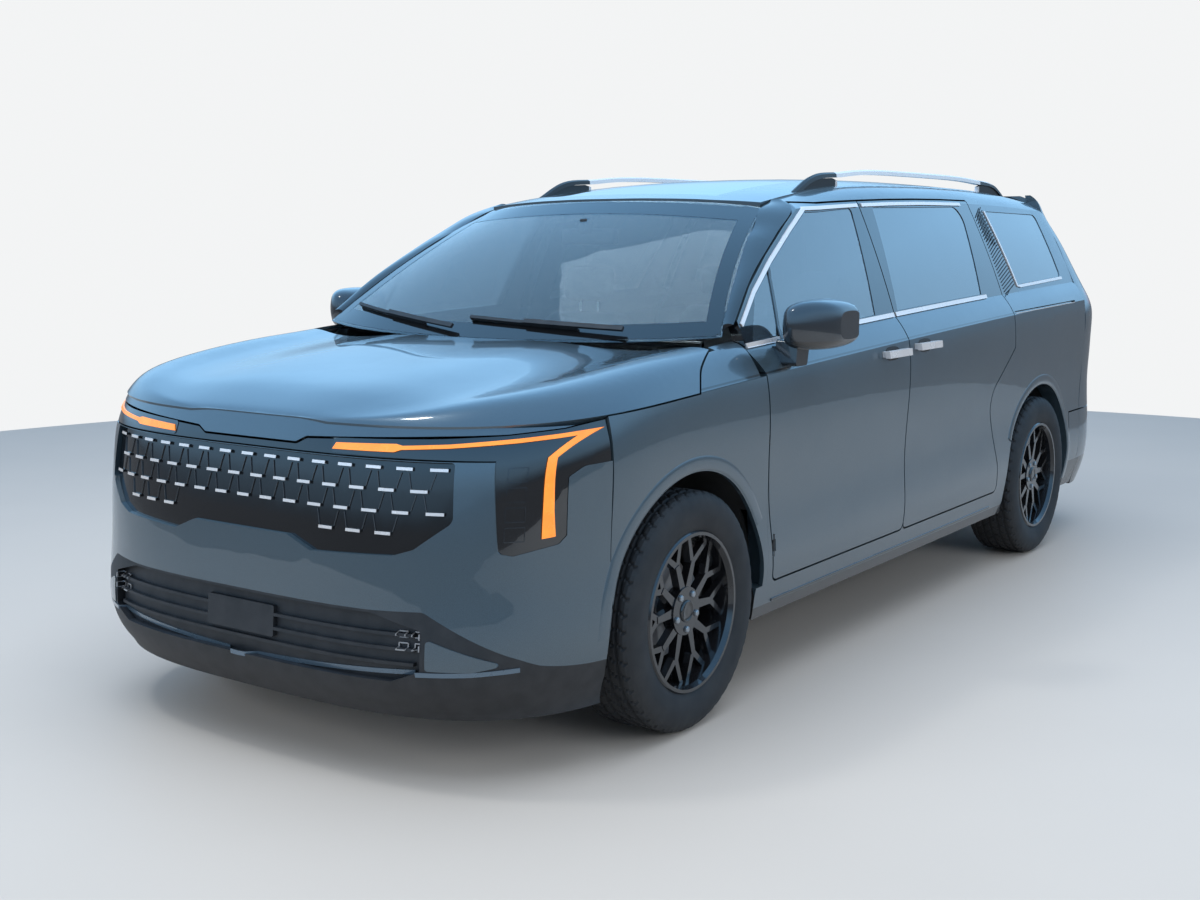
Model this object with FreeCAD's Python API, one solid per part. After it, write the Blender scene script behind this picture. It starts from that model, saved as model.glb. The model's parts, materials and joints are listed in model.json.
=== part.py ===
"""Minivan: a seven-seat family van on its wheels, as separate pieces with their joints.

Millimetres, +Z up, the floor at Z 0, the nose towards -Y and the vehicle's left side towards +X.
The origin is on the floor under the middle of the body. Every size below is a cell of the sheet.
"""

import FreeCAD, Part
import math
import os
from FreeCAD import Matrix, Placement, Rotation, Vector

doc = FreeCAD.newDocument("Minivan")
sheet = doc.addObject("Spreadsheet::Sheet", "Sizes")

SIZES = [
    # Whole body
    ("body_length", 5155.0, "nose to tail"),
    ("half_width", 990.0, "centre plane to the widest point of the skin"),
    ("roof_top", 1740.0, "highest point of the roof skin"),
    ("roof_crown", 34.0, "how much lower the roof is at its side channel"),
    ("channel_half", 620.0, "centre plane to the roof's side channel"),
    ("barrel", 10.0, "how much the sides draw in towards the ends"),
    ("sill_low", 250.0, "underside of the side skin"),
    ("line_front", 1012.0, "height of the side crease at the lamps"),
    ("line_rear", 1165.0, "height of the side crease at the tail"),
    ("line_bow", 12.0, "how much the crease bows up in the middle"),
    ("shoulder_rise", 88.0, "crease to window line"),
    ("shoulder_inset", 70.0, "how far the window line stands in from the widest point"),
    ("window_inset", 245.0, "how far the window tops stand in"),
    ("window_top", 1632.0, "top of the side windows at its highest"),
    ("nose_round", 750.0, "length of the rounded nose corners in plan"),
    ("tail_round", 520.0, "length of the rounded tail corners in plan"),
    # Running gear
    ("wheelbase", 3090.0, "front axle to rear axle"),
    ("front_overhang", 935.0, "nose to front axle"),
    ("track", 1735.0, "between the tyres' middles"),
    ("tyre_radius", 370.0, "outer radius of a tyre"),
    ("tyre_width", 235.0, "section width of a tyre"),
    ("bead_radius", 241.0, "radius of the wheel rim where the tyre sits"),
    ("arch_radius", 430.0, "opening of the wheel arches"),
    ("kingpin_lean", 14.0, "lean of the steering axis, degrees"),
    ("kingpin_inset", 106.0, "steering axis to tyre middle at hub height"),
    # Walls and gaps
    ("door_thick", 60.0, "thickness of a whole door"),
    ("door_frame_thick", 38.0, "thickness of the doors' window frames"),
    ("skin_thick", 14.0, "thickness of the wings"),
    ("cover_thick", 30.0, "thickness of the bumper covers"),
    ("bonnet_thick", 24.0, "thickness of the bonnet"),
    ("panel_gap", 7.0, "gap round the doors and lids"),
    ("glass_thick", 5.0, "thickness of the window glass"),
    ("glass_inset", 3.0, "how far the glass lies in from the skin"),
    ("seat_gap", 0.3, "clearance between fixed pieces that seat on each other"),
    # Doors
    ("door_front", -1200.0, "front edge of the front doors"),
    ("door_split", -110.0, "between front door and sliding door"),
    ("door_rear", 1040.0, "rear edge of the sliding doors"),
    ("door_low", 372.0, "bottom edge of the doors"),
]
for row, (alias, value, note) in enumerate(SIZES, 1):
    sheet.set(f"A{row}", alias)
    sheet.set(f"B{row}", str(value))
    sheet.set(f"C{row}", note)
    sheet.setAlias(f"B{row}", alias)
doc.recompute()


def size(alias):
    return float(getattr(sheet, alias))


# Places along the body that follow from the sizes

NOSE = -size("body_length") / 2
TAIL = size("body_length") / 2
FRONT_AXLE = NOSE + size("front_overhang")
REAR_AXLE = FRONT_AXLE + size("wheelbase")
HUB_Z = size("tyre_radius")


def smooth(table, v):
    """A smooth curve through the table's (place, value) rows, straight beyond its ends."""
    if v <= table[0][0]:
        a, b = table[0], table[1]
        return a[1] + (v - a[0]) * (b[1] - a[1]) / (b[0] - a[0])
    if v >= table[-1][0]:
        a, b = table[-2], table[-1]
        return b[1] + (v - b[0]) * (b[1] - a[1]) / (b[0] - a[0])
    i = max(k for k in range(len(table) - 1) if table[k][0] <= v)

    def slope(k):
        lo, hi = max(k - 1, 0), min(k + 1, len(table) - 1)
        return (table[hi][1] - table[lo][1]) / (table[hi][0] - table[lo][0])

    (a, fa), (b, fb) = table[i], table[i + 1]
    span = b - a
    t = (v - a) / span
    return (
        (2 * t**3 - 3 * t**2 + 1) * fa
        + (t**3 - 2 * t**2 + t) * span * slope(i)
        + (3 * t**2 - 2 * t**3) * fb
        + (t**3 - t**2) * span * slope(i + 1)
    )


# The body's outer form, as functions of place

NOSE_PROFILE = [  # height, distance behind the nose
    (190.0, 62.0), (250.0, 20.0), (310.0, 0.0), (450.0, 5.0), (540.0, 14.0), (650.0, 20.0),
    (760.0, 34.0), (890.0, 60.0), (930.0, 74.0), (970.0, 90.0), (1020.0, 112.0),
]
TAIL_PROFILE = [  # height, distance ahead of the tail
    (240.0, 60.0), (330.0, 10.0), (480.0, 0.0), (640.0, 6.0), (760.0, 32.0), (950.0, 38.0),
    (1120.0, 60.0), (1220.0, 95.0), (1400.0, 172.0), (1560.0, 250.0), (1650.0, 300.0), (1700.0, 334.0),
]
ROOF_PROFILE = [  # place along the body, drop from the roof's top
    (-740.0, 110.0), (-500.0, 72.0), (-200.0, 36.0), (200.0, 10.0), (600.0, 1.0), (900.0, 0.0),
    (1400.0, 7.0), (1800.0, 26.0), (2100.0, 52.0), (2300.0, 76.0),
]
LOWER_INSETS = [  # share of the height from sill to crease, inset from the widest point
    (0.0, 46.0), (0.10, 24.0), (0.24, 9.0), (0.42, 15.0), (0.62, 10.0), (0.85, 0.0), (1.0, 10.0),
]
NOSE_POWER = 3.2
TAIL_POWER = 3.0
WINDOW_PEAK = 900.0
WINDOW_DROOP = 1.87e-5
CREASE_START = FRONT_AXLE - 420.0
CREASE_END = REAR_AXLE + 370.0


def crease_z(y):
    t = (y - CREASE_START) / (CREASE_END - CREASE_START)
    rise = size("line_rear") - size("line_front")
    return size("line_front") + rise * t + 4 * size("line_bow") * t * (1 - t)


def belt_z(y):
    return crease_z(y) + size("shoulder_rise")


def window_z(y):
    return size("window_top") - WINDOW_DROOP * (y - WINDOW_PEAK) ** 2


def roof_z(y):
    return size("roof_top") - smooth(ROOF_PROFILE, y)


def nose_y(z):
    return NOSE + smooth(NOSE_PROFILE, z)


def tail_y(z):
    return TAIL - smooth(TAIL_PROFILE, z)


def tail_reach(z):
    """Length of the rounded tail corners, shorter towards the roof."""
    share = min(max((z - 1000.0) / 600.0, 0.0), 1.0)
    return size("tail_round") * (1 - 0.42 * share)


def corner(y, z):
    """Share of the full half width that is left at y, where the nose and tail round off."""
    ahead = (nose_y(min(z, crease_z(y))) + size("nose_round") - y) / size("nose_round")
    behind = (y - tail_y(min(z, size("window_top")))) / tail_reach(z) + 1
    if ahead > 0:
        return max(0.0, 1 - min(ahead, 1.0) ** NOSE_POWER) ** (1 / NOSE_POWER)
    if behind > 0:
        return max(0.0, 1 - min(behind, 1.0) ** TAIL_POWER) ** (1 / TAIL_POWER)
    return 1.0


def section(y):
    """The side's outline at y, bottom to top, as four runs of (half width, height)."""
    low, line, belt, top = size("sill_low"), crease_z(y), belt_z(y), window_z(y)
    wide = size("half_width") - size("barrel") * (2 * y / size("body_length")) ** 2
    crease_inset = LOWER_INSETS[-1][1]
    mid_shoulder = crease_inset + 0.42 * (size("shoulder_inset") - crease_inset)
    lower = [(wide - inset, low + share * (line - low)) for share, inset in LOWER_INSETS]
    shoulder = [
        (wide - crease_inset, line),
        (wide - mid_shoulder, (line + belt) / 2),
        (wide - size("shoulder_inset"), belt),
    ]
    tumble = size("window_inset") - size("shoulder_inset")
    glass = [
        (wide - size("shoulder_inset") - share * tumble * (0.84 + 0.16 * share), belt + share * (top - belt))
        for share in (0.0, 0.33, 0.67, 1.0)
    ]
    edge = max(roof_z(y) - size("roof_crown"), top + 16)
    out, x_top = size("channel_half"), wide - size("window_inset")
    cant = [
        (x_top, top),
        (x_top - 0.27 * (x_top - out), top + 0.48 * (edge - top)),
        (x_top - 0.62 * (x_top - out), top + 0.83 * (edge - top)),
        (out, edge),
    ]
    return [[(x * corner(y, z), z) for x, z in run] for run in (lower, shoulder, glass, cant)]


def half_width_at(y, z):
    """Half width of the lower skin at a place and height, before the nose and tail round off."""
    low, line = size("sill_low"), crease_z(y)
    share = min(max((z - low) / (line - low), 0.0), 1.0)
    wide = size("half_width") - size("barrel") * (2 * y / size("body_length")) ** 2
    return wide - smooth(LOWER_INSETS, share)


# Curves, lofts and prisms


def spline(points):
    if len(points) == 2:
        return Part.LineSegment(*points).toShape()
    curve = Part.BSplineCurve()
    curve.interpolate(points)
    return curve.toShape()


def inward(points, depth):
    """The planar run of (a, b) points moved to its left side by depth."""
    moved = []
    for i, (a, b) in enumerate(points):
        before, after = points[max(i - 1, 0)], points[min(i + 1, len(points) - 1)]
        da, db = after[0] - before[0], after[1] - before[1]
        length = math.hypot(da, db)
        moved.append((a - db / length * depth, b + da / length * depth))
    return moved


def side_wire(y, outer, inner):
    """Closed section of the left side wall between two depths below the skin."""
    runs = section(y)
    flat = [p for i, run in enumerate(runs) for p in (run if i == 0 else run[1:])]
    wires = []
    for depth in (outer, inner):
        moved = inward(flat, depth)
        at, split = 0, []
        for i, run in enumerate(runs):
            split.append([Vector(x, y, z) for x, z in moved[at : at + len(run)]])
            at += len(run) - 1
        if depth > 20:
            split[-1] = [split[-1][0], split[-1][-1]]
        wires.append(split)
    out, back = wires
    edges = [spline(run) for run in out]
    edges.append(Part.LineSegment(out[-1][-1], back[-1][-1]).toShape())
    edges += [spline(run[::-1]) for run in back[::-1]]
    edges.append(Part.LineSegment(back[0][0], out[0][0]).toShape())
    return Part.Wire(edges)


SIDE_STATIONS = (
    [CREASE_START - 140.0, CREASE_START + 60.0, FRONT_AXLE - 120.0, FRONT_AXLE + 320.0]
    + [FRONT_AXLE + share * size("wheelbase") for share in (0.30, 0.48, 0.66, 0.82)]
    + [REAR_AXLE + 30.0, REAR_AXLE + 300.0, REAR_AXLE + 480.0, REAR_AXLE + 620.0, REAR_AXLE + 740.0]
)


def side_wall(outer, inner):
    return Part.makeLoft([side_wire(y, outer, inner) for y in SIDE_STATIONS], True, False)


def round_end(z, tail):
    """Left half of the plan outline of the nose or tail at height z, side to middle."""
    power = TAIL_POWER if tail else NOSE_POWER
    reach = tail_reach(z) if tail else size("nose_round")
    end = tail_y(z) if tail else nose_y(z)
    way = -1.0 if tail else 1.0
    points = []
    for degrees in (0, 9, 18, 27, 36, 45, 54, 63, 72, 81, 90):
        angle = math.radians(degrees)
        y = end + way * (reach - reach * math.sin(angle) ** (2 / power))
        full = end_width(y, z)
        points.append((full * math.cos(angle) ** (2 / power) if degrees < 90 else 0.0, y))
    return points


def end_width(y, z):
    """Half width at any height, lower body or windows."""
    if z <= crease_z(y):
        return half_width_at(y, z)
    wide = size("half_width") - size("barrel") * (2 * y / size("body_length")) ** 2
    belt, top, crease_inset = belt_z(y), window_z(y), LOWER_INSETS[-1][1]
    if z <= belt:
        share = (z - crease_z(y)) / (belt - crease_z(y))
        return wide - crease_inset - share * (size("shoulder_inset") - crease_inset)
    share = (z - belt) / (top - belt)
    tumble = size("window_inset") - size("shoulder_inset")
    return wide - size("shoulder_inset") - share * tumble * (0.84 + 0.16 * share)


def end_wire(z, outer, inner, tail):
    """Closed plan section of the nose or tail wall at height z, between two depths."""
    half = round_end(z, tail)
    whole = [(-x, y) for x, y in half] + [(x, y) for x, y in half[-2::-1]]
    way = -1.0 if tail else 1.0
    out = [Vector(x, y, z) for x, y in inward(whole, way * outer)]
    back = [Vector(x, y, z) for x, y in inward(whole, way * inner)]
    return Part.Wire([
        spline(out),
        Part.LineSegment(out[-1], back[-1]).toShape(),
        spline(back[::-1]),
        Part.LineSegment(back[0], out[0]).toShape(),
    ])


NOSE_LEVELS = (190.0, 240.0, 310.0, 400.0, 500.0, 600.0, 700.0, 800.0, 890.0, 950.0, 1015.0)
TAIL_LEVELS = (240.0, 320.0, 420.0, 560.0, 680.0, 780.0, 900.0, 1020.0, 1130.0, 1240.0, 1360.0, 1480.0, 1600.0, 1690.0)


def nose_wall(outer, inner):
    return Part.makeLoft([end_wire(z, outer, inner, False) for z in NOSE_LEVELS], True, False)


def tail_wall(outer, inner):
    return Part.makeLoft([end_wire(z, outer, inner, True) for z in TAIL_LEVELS], True, False)


def outline(points):
    """A closed planar outline from (a, b, corner radius) rows, as edges in the plane of a and b."""
    count, corners = len(points), []
    for i, (a, b, radius) in enumerate(points):
        here = Vector(a, b, 0)
        to_last = (Vector(*points[i - 1][:2], 0) - here).normalize()
        to_next = (Vector(*points[(i + 1) % count][:2], 0) - here).normalize()
        half = math.acos(max(-1.0, min(1.0, to_last.dot(to_next)))) / 2
        if radius <= 0 or half > math.radians(89.5):
            corners.append((here, None, here))
            continue
        back = radius / math.tan(half)
        bisector = (to_last + to_next).normalize()
        middle = here + bisector * (radius / math.sin(half) - radius)
        corners.append((here + to_last * back, middle, here + to_next * back))
    edges = []
    for i, (start, middle, end) in enumerate(corners):
        if middle is not None:
            edges.append(Part.Arc(start, middle, end).toShape())
        following = corners[(i + 1) % count][0]
        if end.distanceToPoint(following) > 1e-6:
            edges.append(Part.LineSegment(end, following).toShape())
    return Part.Wire(edges)


def prism(points, axis, start, end, grow=0.0):
    """The outline pushed along x, y or z. Its rows are (y, z), (x, z) or (x, y), with a corner radius."""
    face = Part.Face(outline(points))
    if grow:
        face = Part.Face(face.makeOffset2D(grow).Wires[0])
    turned = {
        "x": Matrix(0, 0, 1, start, 1, 0, 0, 0, 0, 1, 0, 0, 0, 0, 0, 1),
        "y": Matrix(1, 0, 0, 0, 0, 0, -1, start, 0, 1, 0, 0, 0, 0, 0, 1),
        "z": Matrix(1, 0, 0, 0, 0, 1, 0, 0, 0, 0, 1, start, 0, 0, 0, 1),
    }[axis]
    face = face.transformed(turned)
    push = {"x": Vector(1, 0, 0), "y": Vector(0, 1, 0), "z": Vector(0, 0, 1)}[axis]
    return face.extrude(push * (end - start))


def ribbon(points, width):
    """Outline of a band of a width, on the right of a line of points."""
    far = []
    for i, (a, b) in enumerate(points):
        before, after = points[max(i - 1, 0)], points[min(i + 1, len(points) - 1)]
        along = Vector(after[0] - before[0], after[1] - before[1], 0).normalize()
        far.append((a + along.y * width, b - along.x * width, 0))
    return [(a, b, 0) for a, b in points] + far[::-1]


def pair(shape):
    return Part.Compound([shape, mirrored(shape)])


def mirrored(shape):
    return shape.mirror(Vector(0, 0, 0), Vector(1, 0, 0))


def rod(radius, length, at, way):
    return Part.makeCylinder(radius, length, at, way)


def block(x, y, z):
    """A box from (low, high) pairs."""
    return Part.makeBox(x[1] - x[0], y[1] - y[0], z[1] - z[0], Vector(x[0], y[0], z[0]))


def solids(shape):
    """The shape's solids, without slivers, as one shape."""
    kept = [s for s in shape.Solids if s.Volume > 1000.0]
    return kept[0] if len(kept) == 1 else Part.Compound(kept)


pieces = {}


def keep(name, shape):
    feature = doc.addObject("Part::Feature", name)
    feature.Shape = solids(shape)
    feature.Label = name
    feature.Placement = Placement()
    pieces[name] = feature
    return feature


# Outlines seen from the left side, rows of (place along, height, corner radius)

FRONT_EDGE = size("door_front")
SPLIT = size("door_split")
REAR_EDGE = size("door_rear")
DOOR_LOW = size("door_low")
GAP = size("panel_gap")
PILLAR_LINE = [(-548.0, 1612.0), (-719.0, 1533.0), (-923.0, 1432.0), (-1100.0, 1332.0), (-1240.0, 1232.0)]


def top_run(start, end, rise, count=5):
    """Points along the window tops, from start to end."""
    steps = [start + (end - start) * i / (count - 1) for i in range(count)]
    return [(y, window_z(y) + rise, 0) for y in steps]


def belt_run(start, end, rise, count=5):
    steps = [start + (end - start) * i / (count - 1) for i in range(count)]
    return [(y, belt_z(y) + rise, 0) for y in steps]


FRONT_DOOR = (
    [
        (FRONT_EDGE + 55, DOOR_LOW, 25),
        (FRONT_EDGE + 5, DOOR_LOW + 428, 300),
        (FRONT_EDGE - 10, DOOR_LOW + 688, 60),
        (FRONT_EDGE - 46, DOOR_LOW + 754, 20),
    ]
    + [(FRONT_EDGE - 46, 1226.0, 10)]
    + [(y, z, 0) for y, z in PILLAR_LINE[-2::-1]]
    + top_run(-400.0, SPLIT + 25, 10.0, 3)
    + [(SPLIT, 1200.0, 60), (SPLIT, DOOR_LOW, 25)]
)
FRONT_WINDOW = (
    belt_run(SPLIT - 160, -1190.0, 18.0)
    + [(y + 10, z - 34, 0) for y, z in PILLAR_LINE[-2::-1]]
    + [(-430.0, window_z(-430.0) - 18, 0), (SPLIT - 50, window_z(SPLIT) - 16, 12)]
)
SLIDING_DOOR = (
    [
        (SPLIT + GAP, DOOR_LOW, 25),
        (SPLIT + GAP, 1200.0, 60),
    ]
    + top_run(SPLIT + 25 + GAP, REAR_EDGE, 10.0, 5)
    + [
        (REAR_EDGE, 1000.0, 0),
        (REAR_AXLE - 690, DOOR_LOW + 428, 120),
        (REAR_AXLE - 560, DOOR_LOW + 120, 80),
        (REAR_AXLE - 545, DOOR_LOW, 25),
    ]
)
SLIDING_WINDOW = (
    belt_run(REAR_EDGE - 235, SPLIT + 40, 18.0)
    + [(SPLIT + 140, window_z(SPLIT + 140) - 16, 12), (REAR_EDGE - 105, window_z(900.0) - 16, 60)]
)
QUARTER_WINDOW = [(1262.0, 1268.0, 20), (1893.0, 1290.0, 30), (1906.0, 1590.0, 30), (1206.0, 1600.0, 30)]

LEFT = ("x", 300.0, 1200.0)
FRONT_ARCH = rod(size("arch_radius"), 900.0, Vector(480, FRONT_AXLE, HUB_Z), Vector(1, 0, 0))
REAR_ARCH = rod(size("arch_radius"), 900.0, Vector(480, REAR_AXLE, HUB_Z), Vector(1, 0, 0))
TAIL_SEAM = tail_y(900.0) - size("tail_round") + 30
NOSE_SEAM = FRONT_AXLE - size("arch_radius") + 14
ABOVE_PILLAR = [(y, z + GAP - 2, 0) for y, z in PILLAR_LINE] + [
    (FRONT_EDGE - 600, 1040.0, 0), (FRONT_EDGE - 600, 2000.0, 0), (PILLAR_LINE[0][0], 2000.0, 0),
]


# Steering axis of the left front wheel, and the room that its tyre sweeps

lean = math.radians(size("kingpin_lean"))
TYRE_X = size("track") / 2
KINGPIN_X = TYRE_X - size("kingpin_inset")
KINGPIN = Vector(KINGPIN_X, FRONT_AXLE, HUB_Z)
KINGPIN_WAY = Vector(-math.sin(lean), 0, math.cos(lean))


def kingpin_at(z):
    return KINGPIN + KINGPIN_WAY * ((z - HUB_Z) / math.cos(lean))


SWEEP = math.hypot(size("tyre_radius"), size("kingpin_inset") + 0.43 * size("tyre_width")) + 8
STEER_ROOM = rod(SWEEP, 900, kingpin_at(-60), KINGPIN_WAY)


# Side frames: sills, pillars, roof sides and rear quarters

TAILGATE = [
    (-745.0, 628.0, 25), (745.0, 628.0, 25), (745.0, 1130.0, 200),
    (640.0, 1722.0, 30), (-640.0, 1722.0, 30), (-745.0, 1130.0, 200),
]
FRAME_DEPTH = size("door_thick") + 15
FENDER_BACK = FRONT_EDGE - 46 - GAP

side_outer = side_wall(0.0, FRAME_DEPTH)
frame = side_outer.common(block((300, 1200), (FENDER_BACK, TAIL_SEAM), (0, 2000)))
frame = frame.cut(block((300, 1200), (FRONT_EDGE - 200, FRONT_EDGE + 10), (DOOR_LOW - 8, 2000)))
corner_post = tail_wall(0.0, FRAME_DEPTH).common(block((300, 1200), (TAIL_SEAM - 2, 3000), (628.0, 1705.0)))
frame = frame.fuse(corner_post)
openings = [prism(FRONT_DOOR, *LEFT, grow=GAP), prism(SLIDING_DOOR, *LEFT, grow=GAP)]
openings.append(prism(QUARTER_WINDOW, *LEFT, grow=size("seat_gap")))
openings.append(prism(TAILGATE, "y", 1700.0, 3000.0, grow=GAP))
openings.append(prism(ABOVE_PILLAR, *LEFT))
openings.append(REAR_ARCH)
openings.append(block((300, 1200), (1895 - GAP, 3000), (0, 628)))
for opening in openings:
    frame = frame.cut(opening)
slot_line = ribbon([(REAR_EDGE + 22, 1158.0), (1905.0, 1176.0)], 11.0)
frame = frame.cut(side_wall(-6.0, 9.0).common(prism(slot_line, *LEFT)))
lamp_room = tail_wall(-6.0, 14.3).common(block((500, 1200), (2128.7, 3000), (1134.7, 1228.3)))
frame = frame.cut(lamp_room).cut(STEER_ROOM)
post = side_wall(FRAME_DEPTH - 7, FRAME_DEPTH + 40)
frame = frame.fuse(post.common(block((300, 1200), (SPLIT - 60, SPLIT + 80), (300, 1700))))


# Doors of the left side, and their mirrored pairs

belt_line = [(y, belt_z(y) + 10, 0) for y in (-1500.0, 1500.0)]
below_belt = prism(belt_line + [(1500.0, 100.0, 0), (-1500.0, 100.0, 0)], *LEFT)
above_belt = prism(belt_line + [(1500.0, 2000.0, 0), (-1500.0, 2000.0, 0)], *LEFT)
roof_side = block((300, size("half_width") - size("window_inset") - 52), (-1500, 1500), (1480, 2000))
door_lower = side_wall(0.0, size("door_thick")).common(below_belt)
door_upper = side_wall(0.0, size("door_frame_thick")).common(above_belt).cut(roof_side)


def door(edge, window):
    shape = prism(edge, *LEFT)
    upper = door_upper.common(shape).cut(prism(window, *LEFT, grow=size("seat_gap")))
    return door_lower.common(shape).fuse([upper], 0.01)


HINGE_X = size("half_width") - 15.0
HINGE_Y = FRONT_EDGE + 50.0
PIN = 5.0
BEARING = 0.05
HINGE_HEIGHTS = (470.0, 830.0)
ARM = [(826.0, HINGE_Y - 60, 0), (HINGE_X, HINGE_Y - 7, 6), (HINGE_X + 7, HINGE_Y + 7, 6), (826.0, HINGE_Y - 20, 0)]
front_door = door(FRONT_DOOR, FRONT_WINDOW)
hinge_arms = []
for z in HINGE_HEIGHTS:
    pocket = block((HINGE_X - 62, HINGE_X + 9), (HINGE_Y - 110, HINGE_Y + 10), (z, z + 40))
    front_door = front_door.cut(pocket)
    front_door = front_door.cut(rod(PIN + BEARING, 76, Vector(HINGE_X, HINGE_Y, z - 18), Vector(0, 0, 1)))
    frame = frame.cut(prism(ARM, "z", z + 13.7, z + 26.3, grow=size("seat_gap")))
    arm = prism(ARM, "z", z + 14, z + 26)
    hinge_arms.append(arm.fuse(rod(PIN, 70, Vector(HINGE_X, HINGE_Y, z - 15), Vector(0, 0, 1))))
keep("side_frame_left", frame)
keep("side_frame_right", mirrored(frame))
sliding_door = door(SLIDING_DOOR, SLIDING_WINDOW)
rest = GAP - size("seat_gap")
sliding_door = sliding_door.fuse(block((925, 950), (REAR_EDGE - 20, REAR_EDGE + rest), (1075, 1115)))
sliding_door = sliding_door.fuse(block((895, 925), (260, 330), (DOOR_LOW - rest, DOOR_LOW + 20)))
keep("sliding_door_left", sliding_door)
keep("sliding_door_right", mirrored(sliding_door))

pane = side_wall(size("glass_inset"), size("glass_inset") + size("glass_thick"))
front_pane = pane.common(prism(FRONT_WINDOW, *LEFT))
keep("door_glass_left", front_pane)
keep("door_glass_right", mirrored(front_pane))
rear_panes = [pane.common(prism(SLIDING_WINDOW, *LEFT)), pane.common(prism(QUARTER_WINDOW, *LEFT))]
rear_panes += [mirrored(one) for one in rear_panes]
keep("side_glass", Part.Compound(rear_panes))


# Bonnet and wings, from one surface that spans crease to crease

BONNET_RISE = [  # place along the body, height of the middle above the crease, share of the shoulder's rise
    (-2474.0, 6.0, 0.05), (-2440.0, 22.0, 0.18), (-2300.0, 62.0, 0.48), (-2000.0, 92.0, 0.74), (-1700.0, 108.0, 0.92), (-1300.0, 118.0, 1.0),
]


def bonnet_wire(y, outer, inner):
    """Closed section across the bonnet and the shoulders, crease to crease."""
    rise = smooth([(a, b) for a, b, c in BONNET_RISE], y)
    share = smooth([(a, c) for a, b, c in BONNET_RISE], y)
    line = crease_z(y)
    wide = half_width_at(y, line) * corner(y, line) + 1e-6
    up = share * size("shoulder_rise")
    half = [
        (wide, line),
        (wide - 0.42 * 60, line + 0.5 * up),
        (wide - 60, line + 0.98 * up),
        (wide * 0.74, line + up + 0.42 * (rise - up)),
        (wide * 0.38, line + up + 0.86 * (rise - up)),
        (0.0, line + rise),
    ]
    whole = half[:-1] + [(-x, z) for x, z in half[::-1]]
    out = [Vector(x, y, z) for x, z in inward(whole, outer)]
    back = [Vector(x, y, z) for x, z in inward(whole, inner)]
    return Part.Wire([
        spline(out),
        Part.LineSegment(out[-1], back[-1]).toShape(),
        spline(back[::-1]),
        Part.LineSegment(back[0], out[0]).toShape(),
    ])


BONNET_STATIONS = (-2474.0, -2464.0, -2440.0, -2380.0, -2300.0, -2180.0, -2020.0, -1850.0, -1650.0, -1450.0, -1240.0)
COWL = [(885.0, -1420.0), (700.0, -1455.0), (450.0, -1480.0), (200.0, -1496.0), (0.0, -1500.0)]
BONNET_PLAN = (
    [(x, y, 0) for x, y in COWL[:-1]]
    + [(-x, y, 0) for x, y in COWL[::-1]]
    + [(-938.0, -1560.0, 200), (-1100.0, -1820.0, 30), (-1100.0, -2700.0, 0)]
    + [(1100.0, -2700.0, 0), (1100.0, -1820.0, 30), (938.0, -1560.0, 200)]
)


def bonnet_wall(outer, inner):
    return Part.makeLoft([bonnet_wire(y, outer, inner) for y in BONNET_STATIONS], True, False)


lower_skin = side_wall(0.0, size("skin_thick"))
below_crease = [(NOSE_SEAM - 50, 200.0, 0), (FENDER_BACK + 90, 200.0, 0)]
below_crease += [(y, crease_z(y) - 1, 0) for y in (FENDER_BACK + 90, -1500.0, -1800.0, -2000.0, NOSE_SEAM - 50)]
fender = lower_skin.common(block((300, 1200), (NOSE_SEAM, FRONT_EDGE + 9.5), (330, 1300)))
fender = fender.common(prism(below_crease, *LEFT)).cut(FRONT_ARCH).cut(prism(FRONT_DOOR, *LEFT, grow=GAP))
fender = fender.cut(block((300, 1200), (FENDER_BACK - 0.3, 0), (300, DOOR_LOW - 7.7)))
fender = max(fender.Solids, key=lambda solid: solid.Volume)
shoulder = bonnet_wall(0.0, size("skin_thick")).common(block((872, 1200), (-2029, FENDER_BACK), (900, 1300)))
shoulder = shoulder.cut(prism(BONNET_PLAN, "z", 700.0, 1400.0, grow=GAP - 2))
shoulder = shoulder.cut(block((800, COWL[0][0] + 12), (-1500, COWL[0][1] + 18), (900, 1300)))
fender = fender.fuse(shoulder)
bonnet_room = bonnet_wall(-8.0, size("bonnet_thick") + 8).common(prism(BONNET_PLAN, "z", 700.0, 1400.0, grow=GAP - 2))
fender = fender.cut(bonnet_room)
bonnet_room.translate(Vector(0, 0, -6))
fender = fender.cut(bonnet_room)
keep("fender_left", fender)
keep("fender_right", mirrored(fender))


# Nose: bumper cover, grille, lower intake and lamps

LAMP = [
    (798.0, 908.0, 0), (816.0, 664.0, 12), (843.0, 655.0, 8), (914.0, 678.0, 8), (924.0, 700.0, 6),
    (926.0, 858.0, 12), (944.0, 884.0, 10), (1100.0, 905.0, 0), (1100.0, 1030.0, 0), (953.0, 1003.0, 0), (902.0, 984.0, 0), (807.0, 972.0, 0), (647.0, 962.0, 0),
    (330.0, 950.0, 10), (330.0, 912.0, 10),
]
BAND = [
    (953.0, 1003.0, 0), (902.0, 984.0, 0), (807.0, 972.0, 0), (647.0, 966.0, 0), (228.0, 945.0, 20), (193.0, 928.0, 20),
    (-193.0, 928.0, 20), (-228.0, 945.0, 20), (-647.0, 966.0, 0), (-807.0, 972.0, 0), (-902.0, 984.0, 0),
    (-953.0, 1003.0, 0), (-1100.0, 1030.0, 0), (-1100.0, 905.0, 0), (1100.0, 905.0, 0), (1100.0, 1030.0, 0),
]
GRILLE = [
    (708.0, 903.0, 10), (717.0, 747.0, 30), (619.0, 671.0, 20), (557.0, 651.0, 10), (287.0, 640.0, 8), (197.0, 676.0, 8),
    (-197.0, 676.0, 8), (-287.0, 640.0, 8), (-557.0, 651.0, 10), (-619.0, 671.0, 20), (-717.0, 747.0, 30),
    (-708.0, 903.0, 10),
]
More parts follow.
